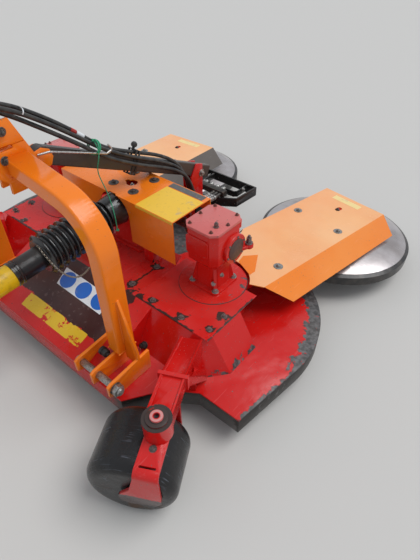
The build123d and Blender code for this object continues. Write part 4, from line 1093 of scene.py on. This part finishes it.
# Rear frame: a box of flat bar in black paint rubbed bright along its edges, with two bent straps
# inside it that carry the cylinders' hoses.
frame_black = paint("frame_black", (0.014, 0.013, 0.013), (0.03, 0.028, 0.026), chips=0.9, dust=0.2,
                    gloss=0.35, edge_reach=0.004, bare=(0.42, 0.40, 0.38))
dressed("rear_frame", frame_black, "chassis", 0.001)


def flat_bar(name, points, low, high, thick, finish):
    """A bar bent on edge along points seen from above."""
    corners = []
    faces = []
    for index, (x, y) in enumerate(points):
        before = Vector(points[max(index - 1, 0)])
        after = Vector(points[min(index + 1, len(points) - 1)])
        way = (after - before).normalized()
        for side in (-1, 1):
            for h in (low, high):
                corners.append(spot(x + side * way.y * thick / 2, y - side * way.x * thick / 2, h))
    for i in range(len(points) - 1):
        a, b = i * 4, (i + 1) * 4
        faces += [(a, b, b + 1, a + 1), (a + 2, a + 3, b + 3, b + 2), (a + 1, b + 1, b + 3, a + 3),
                  (a, a + 2, b + 2, b)]
    last = (len(points) - 1) * 4
    faces += [(0, 1, 3, 2), (last, last + 2, last + 3, last + 1)]
    piece = faces_out(made(name, corners, faces, finish, "chassis"))
    return settled(rounded(piece, 0.0008))


for s, side in both_sides:
    strap_line = [(s * 46, 640), (s * 96, 640), (s * 112, 655), (s * 112, 735)]
    flat_bar("inner_strap_" + side, strap_line, 262, 296, 6, frame_black)
fasteners("frame_bolts", [(spot(x, 700, 288), Vector((s, 0, 0))) for s, x in ((1, 116), (-1, -116))],
          "chassis", 0.010, 0.008, 0.014, 0.003, zinc)
fasteners("block_fittings", [(spot(x, 577, 316), Vector((0, 1, 0))) for x in (-60, -20, 20, 60)],
          "chassis", 0.012, 0.018, 0.013, 0.006, zinc, 0.009)

# Input shaft: a rubber cone and ribbed bellows over the joint, black guard tube, yellow outer tube
# with a black collar, and a thin chain that keeps the guard from turning.
shaft_fall = radians(4)
shaft_way = Vector((0, -cos(shaft_fall), -sin(shaft_fall)))
shaft_base = Vector((0, 0.457, -0.432))
bellows_black = finish_of("bellows_black", (0.008, 0.008, 0.009), (0.022, 0.021, 0.020), 0.26, 0, 0.05,
                          coat=0.35)
for node in ("input_guard", "guard_tube"):
    dressed(node, bellows_black, "chassis", 0.0005)
rib_count = 11
rib_pitch = 0.0277
rib_shape = ((0.0, 0.066), (0.22, 0.069), (0.38, 0.0815), (0.46, 0.0838), (0.54, 0.0838),
             (0.62, 0.0815), (0.78, 0.069))
ribs = [(0, 0.039)]
for i in range(rib_count):
    ribs += [((i + t) * rib_pitch, r) for t, r in rib_shape]
ribs += [(rib_count * rib_pitch, 0.066), (rib_count * rib_pitch, 0.0385)]
bellows = turned("bellows", shaft_base + shaft_way * 0.050, shaft_way, ribs,
                 bellows_black, "chassis", 64)
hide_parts("bellows_guard")
collar_end = (shaft_base + shaft_way * 0.478).y


def tube_stains(tree, flakes):
    """A grubby yellow tube with a black collar at its front end."""
    collar = between(collar_end - 0.0006, collar_end + 0.0006, along(tree, "Y"))
    grubby = between(0.52, 0.68, grain(tree, 0.05, 7, 0.65))
    return [(times(grubby, 0.35), (0.20, 0.12, 0.02)), (collar, (0.012, 0.012, 0.013))]


tube_yellow = paint("tube_yellow", (0.80, 0.50, 0.008), (0.66, 0.40, 0.03), chips=0.3, dust=0.3,
                    gloss=0.34, bare=(0.25, 0.15, 0.02), stained_places=tube_stains)
dressed("guard_sleeve", tube_yellow, "chassis", 0.001)
turned("sleeve_ring", shaft_base + shaft_way * 0.452, shaft_way,
       [(0, 0.0462), (0.003, 0.0495), (0.010, 0.0495), (0.012, 0.047), (0.019, 0.047), (0.021, 0.0495),
        (0.028, 0.0495), (0.030, 0.0462)], bellows_black, "chassis", 40)
dressed("shaft_tube", zinc, "chassis", 0.001)
dressed("tractor_yoke", bolt_dark, "chassis", 0.002)
coupling_grey = finish_of("coupling_grey", (0.14, 0.13, 0.125), (0.05, 0.04, 0.038), 0.45, 0.5, 0.02)
dressed("cross_shafts", coupling_grey, "chassis", 0.002)


def chain(name, points, finish, link_r=0.0052, wire_r=0.0012):
    """Twisted-link chain: links of round wire laid end to end, each a quarter turn from the last."""
    tree, given = growth_tree(name, ("Link Radius", "Wire Radius", "Link Pitch"))
    curve = tree.nodes.new("GeometryNodeMeshToCurve")
    even = tree.nodes.new("GeometryNodeCurveToPoints")
    even.mode = "LENGTH"
    ring = tree.nodes.new("GeometryNodeCurvePrimitiveCircle")
    ring.inputs["Resolution"].default_value = 10
    wire = tree.nodes.new("GeometryNodeCurvePrimitiveCircle")
    wire.inputs["Resolution"].default_value = 5
    tube = tree.nodes.new("GeometryNodeCurveToMesh")
    stretch = tree.nodes.new("GeometryNodeTransform")
    stretch.inputs["Rotation"].default_value = (radians(90), 0, 0)
    stretch.inputs["Scale"].default_value = (0.62, 1, 1)
    quarters = times(tree.nodes.new("GeometryNodeInputIndex").outputs[0], radians(90))
    spin_way = tree.nodes.new("ShaderNodeCombineXYZ")
    spun = tree.nodes.new("FunctionNodeRotateRotation")
    spun.rotation_space = "LOCAL"
    place = tree.nodes.new("GeometryNodeInstanceOnPoints")
    link(given.outputs["Geometry"], curve.inputs[0])
    link(curve.outputs[0], even.inputs["Curve"])
    link(given.outputs["Link Pitch"], even.inputs["Length"])
    link(given.outputs["Link Radius"], ring.inputs["Radius"])
    link(given.outputs["Wire Radius"], wire.inputs["Radius"])
    link(ring.outputs[0], tube.inputs["Curve"])
    link(wire.outputs[0], tube.inputs["Profile Curve"])
    link(tube.outputs[0], stretch.inputs["Geometry"])
    link(quarters, spin_way.inputs["Z"])
    link(even.outputs["Rotation"], spun.inputs[0])
    link(spin_way.outputs[0], spun.inputs[1])
    link(even.outputs["Points"], place.inputs["Points"])
    link(spun.outputs[0], place.inputs["Rotation"])
    link(stretch.outputs[0], place.inputs["Instance"])
    tree_ends(tree, given, place.outputs[0])
    mesh = mesh_of(name, points, [(i, i + 1) for i in range(len(points) - 1)], [])
    numbers = (("Link Radius", link_r), ("Wire Radius", wire_r),
               ("Link Pitch", 2 * link_r - 2.4 * wire_r))
    return grown(name, mesh, tree, numbers, finish, "chassis", 80)


chain_start = spot(34, -470, 545)
chain_end = spot(368, -484, 634)
chain_steps = 24
chain_sag = 0.085
chain_points = []
for i in range(chain_steps + 1):
    t = i / chain_steps
    chain_points.append(chain_start.lerp(chain_end, t) - Vector((0, 0, chain_sag * 4 * t * (1 - t))))
chain_steel = finish_of("chain_steel", (0.42, 0.39, 0.33), (0.25, 0.20, 0.14), 0.35, 0.85, 0.01)
chain("guard_chain", chain_points, chain_steel)


# Castor arms and forks: channels of thick sheet in the same red, their lips welded on, with a
# worn collar round each swivel. The fork's legs are scraped black where the grass wraps round.
swivel = Vector((0.778, -0.070))


def swivel_ring(tree, inner, outer):
    """1 between two distances from the swivel's axis."""
    away = from_axis(tree, swivel.x, swivel.y)
    return times(between(inner - 0.001, inner + 0.001, away),
                 rest(between(outer - 0.002, outer + 0.002, away)))


def arm_stains(tree, flakes):
    """A torn dark ring on the collar round the swivel."""
    rim = times(swivel_ring(tree, 0.0, 0.060), between(-0.549, -0.546, along(tree, "Z")))
    torn = between(0.42, 0.46, times(rim, plus(flakes, 0.12)))
    return [(torn, (0.045, 0.030, 0.026))]


def fork_stains(tree, flakes):
    """Legs scraped dark low down, and the swivel's cap with its worn rim and dark bore."""
    low = rest(between(-0.775, -0.735, along(tree, "Z")))
    scraped = between(0.55, 0.60, plus(times(low, 0.45), times(flakes, 0.5)))
    high = between(-0.5435, -0.5425, along(tree, "Z"))
    cap_rim = times(high, swivel_ring(tree, 0.020, 0.05))
    cap_torn = between(0.40, 0.46, times(cap_rim, plus(flakes, 0.05)))
    cap_pale = times(high, swivel_ring(tree, 0.0115, 0.0195))
    cap_bore = times(high, swivel_ring(tree, -0.01, 0.0085))
    return [(times(scraped, 0.95), (0.035, 0.026, 0.022)), (cap_torn, (0.05, 0.032, 0.028)),
            (times(cap_pale, 0.6), (0.62, 0.42, 0.40)), (cap_bore, (0.008, 0.008, 0.010))]


arm_red = paint("arm_red", (0.58, 0.008, 0.006), (0.62, 0.025, 0.02), chips=0.7, dust=0.15, gloss=0.2,
                stained_places=arm_stains)
fork_red = paint("fork_red", (0.56, 0.008, 0.007), (0.60, 0.03, 0.025), chips=0.8, dust=0.15,
                 gloss=0.24, stained_places=fork_stains)
dressed("castor_arms", arm_red, "chassis", 0.0008, 1)
arm_back = Vector((0.617, 0.263))
lip_half = 0.0335
lip_runs = (((0.022, 376.5), (0.148, 376.5)), ((0.170, 372.0), (0.365, 313.5)))
weld_runs = []
for s in (1, -1):
    pivot = Vector((s * swivel.x, swivel.y))
    back_way = (Vector((s * arm_back.x, arm_back.y)) - pivot).normalized()
    side_way = Vector((back_way.y, -back_way.x))
    for v in (-lip_half, lip_half):
        for lip_ends in lip_runs:
            weld_runs.append([Vector((*(pivot + back_way * run + side_way * v), height(h)))
                              for run, h in lip_ends])
bead("castor_welds", weld_runs, "chassis", arm_red, 0.0035, 0.003)
fasteners("castor_grease_plugs", [(spot(s * 690, -448, 345), Vector((0, 0.28, 0.96))) for s in (1, -1)],
          "chassis", 0.009, 0.003, 0.013, 0.002, bolt_dark)

roller_turn = radians(-62)


def roller_finish():
    """Black plastic, polished by the grass and scored round its girth, brown with soil low down."""
    finish, tree, shader = new_finish("roller_black")
    place = tree.nodes.new("ShaderNodeTexCoord")
    round_way = tree.nodes.new("ShaderNodeMapping")
    round_way.vector_type = "TEXTURE"
    round_way.inputs["Rotation"].default_value = (0, 0, roller_turn)
    round_way.inputs["Scale"].default_value = (0.0035, 0.09, 0.09)
    link(place.outputs["Object"], round_way.inputs["Vector"])
    scores = tree.nodes.new("ShaderNodeTexNoise")
    scores.inputs["Scale"].default_value = 1.0
    scores.inputs["Detail"].default_value = 3
    link(round_way.outputs["Vector"], scores.inputs["Vector"])
    scored = between(0.56, 0.70, scores.outputs["Fac"])
    where = between(0.50, 0.62, grain(tree, 0.07, 4))
    scuffed = times(scored, where)
    chips = between(0.60, 0.64, grain(tree, 0.022, 6, 0.7))
    soil = times(between(0.52, 0.68, grain(tree, 0.08, 7, 0.6)),
                 rest(between(-0.86, -0.72, along(tree, "Z"))))
    black = mixed(grain(tree, 0.1, 4), (0.007, 0.007, 0.008), (0.020, 0.019, 0.019))
    scraped = mixed(times(scuffed, 0.55), black, (0.16, 0.18, 0.22))
    chipped = mixed(times(chips, 0.35), scraped, (0.03, 0.03, 0.035))
    link(mixed(times(soil, 0.7), chipped, (0.11, 0.06, 0.035)), shader.inputs["Base Color"])
    rough = plus(times(grain(tree, 0.05, 5), 0.3), 0.10)
    rough = plus(rough, times(scuffed, 0.25))
    link(plus(rough, times(soil, 0.35)), shader.inputs["Roughness"])
    shader.inputs["Specular IOR Level"].default_value = 0.34
    bumped(shader, [(scores.outputs["Fac"], 0.0008), (grain(tree, 0.03, 5), 0.0015),
                    (grain(tree, 0.004, 3), 0.0003)])
    return finish


roller_black = roller_finish()
roller_axis = Vector((cos(roller_turn), sin(roller_turn), 0))
strap_z = height(314)
strap_out = 0.058
for s, side in both_sides:
    dressed("castor_fork_" + side, fork_red, "castor_" + side, 0.0015)
    dressed("roller_" + side, roller_black, "roller_" + side, 0)
    strap_at = Vector((s * swivel.x, swivel.y, strap_z)) + roller_axis * strap_out
    fasteners("strap_bolt_" + side, [(strap_at, up)], "castor_" + side, 0.009, 0.003, 0.012, 0.0015,
              bolt_dark)

# Swing arms: folded orange covers over the belt boxes, paler on their level tops from sun bleaching and
# a painted sheen of the bright sky, bolted through broad washers, with a slotted hole over the rotor's
# nut and a pale strip behind.
def tops_bleached_and_sheen(tree, flakes):
    """The level top is paler: bleached by the sun and with a painted sheen of the bright sky, more
    towards the bolts than along the fold.
    """
    level = between(0.985, 0.995, facing_up(tree))
    uneven = plus(times(between(0.3, 0.7, grain(tree, 0.35, 4)), 0.25), 0.45)
    return [(times(level, uneven), (0.93, 0.56, 0.30))]


# The covers' level tops get a pale orange: sun bleaching plus a painted sheen of the bright sky.
cover_orange = paint("cover_orange", (0.87, 0.22, 0.020), (0.90, 0.40, 0.12), chips=0.55, dust=0.12,
                     gloss=0.22, fade=0.8, stained_places=tops_bleached_and_sheen)
flap_grey = paint("flap_grey", (0.10, 0.085, 0.075), (0.20, 0.17, 0.15), chips=0.5, dust=0.3, gloss=0.4)
belt_red = paint("belt_red", red, red_faded, chips=0.8, dust=0.3, gloss=0.3)
hood_r = 0.389
hood_steel = finish_of("hood_steel", (0.56, 0.52, 0.52), (0.34, 0.30, 0.29), 0.29, 0.65, 0.22, 0.0005,
                       0.02, coat=0.3)
hood_band = finish_of("hood_band", (0.014, 0.013, 0.013), (0.05, 0.042, 0.036), 0.38, 0.1, 0.03,
                      coat=0.15)
skid_steel = finish_of("skid_steel", (0.24, 0.22, 0.20), (0.09, 0.06, 0.045), 0.4, 0.8, 0.03)
arm_pitch = radians(2.8)
arm_origin_h = 324
hub_u = 883


def arm_ways(s, splay):
    """Along an arm, outwards from it and up from its cover, for an arm parked at an angle."""
    a = radians(splay)
    along_arm = Vector((s * sin(a) * cos(arm_pitch), cos(a) * cos(arm_pitch), -sin(arm_pitch)))
    outwards = Vector((s * cos(a), -sin(a), 0))
    upwards = Vector((s * sin(a) * sin(arm_pitch), cos(a) * sin(arm_pitch), cos(arm_pitch)))
    return along_arm, outwards, upwards


for (s, side), splay in zip(both_sides, (9.0, 3.3)):
    along_arm, outwards, upwards = arm_ways(s, splay)
    origin = spot(s * rotor_mm, 0, arm_origin_h)

    def on_arm(u, v, w):
        """A place on the arm in millimetres: along it, outwards and up from its cover."""
        return origin + along_arm * (u / 1000) + outwards * (v / 1000) + upwards * (w / 1000)

    cover = dressed("arm_cover_" + side, cover_orange, "arm_" + side, 0.001, 2, 9)
    cover.data.materials.append(flap_grey)
    for polygon in cover.data.polygons:
        from_origin = polygon.center - origin
        if s < 0 and from_origin.dot(outwards) < -0.177 and from_origin.dot(along_arm) > 0.60:
            polygon.material_index = 1
    # A thin flat sheet in the arch's deeper orange lies on the cover's front corner by the gearbox:
    # painted shade of the part of the corner that is bent down there.
    corner = [on_arm(u, v, 0.4) for u, v in ((156, -8), (200, -25), (257, 11), (162, 84), (128, 86))]
    made("painted_shade_corner_" + side, corner, [tuple(range(5))] if s < 0 else [tuple(reversed(range(5)))],
         arch_orange, "arm_" + side, 0, 0.0004)
    dressed("arm_beam_" + side, belt_red, "arm_" + side, 0.001)
    dressed("swing_rotor_" + side, skid_steel, "swing_rotor_" + side, 0.001)
    rows = [(on_arm(u, v, 0), upwards) for u, v in ((696, 123), (696, -123), (265, 123))]
    fasteners("cover_bolts_" + side, rows, "arm_" + side, 0.0095, 0.007, 0.021, 0.0022, zinc, 0.006)
    fasteners("slot_bolt_" + side, [(on_arm(866, 0, -5), upwards)], "arm_" + side, 0.010, 0.008, 0.013,
              0.002, bolt_dark)
    strip = [on_arm(u, v, 0.4) for u, v in ((948, -95), (948, 65), (988, 65), (988, -95))]
    strip_faces = [(0, 1, 2, 3)] if s < 0 else [(3, 2, 1, 0)]
    made("pale_strip_" + side, strip, strip_faces, sheet_pale, "arm_" + side, 0, film)
    hood = dressed("feeler_hood_" + side, hood_steel, "hood_" + side, 0)
    hood.data.materials.append(hood_band)
    hub = on_arm(hub_u, 0, 0)
    for polygon in hood.data.polygons:
        out = polygon.center - hub
        out -= upwards * out.dot(upwards)
        if out.length > hood_r - 0.0185:
            polygon.material_index = 1
    dressed("cylinder_barrel_" + side, dark_iron, "barrel_" + side, 0.001)
    dressed("cylinder_rod_" + side, hose_rod_finish, "rod_" + side, 0.001)
    dressed("main_rotor_" + side, skid_steel, "main_rotor_" + side, 0.001)
dressed("cylinder_posts", dark_iron, "chassis", 0.001)
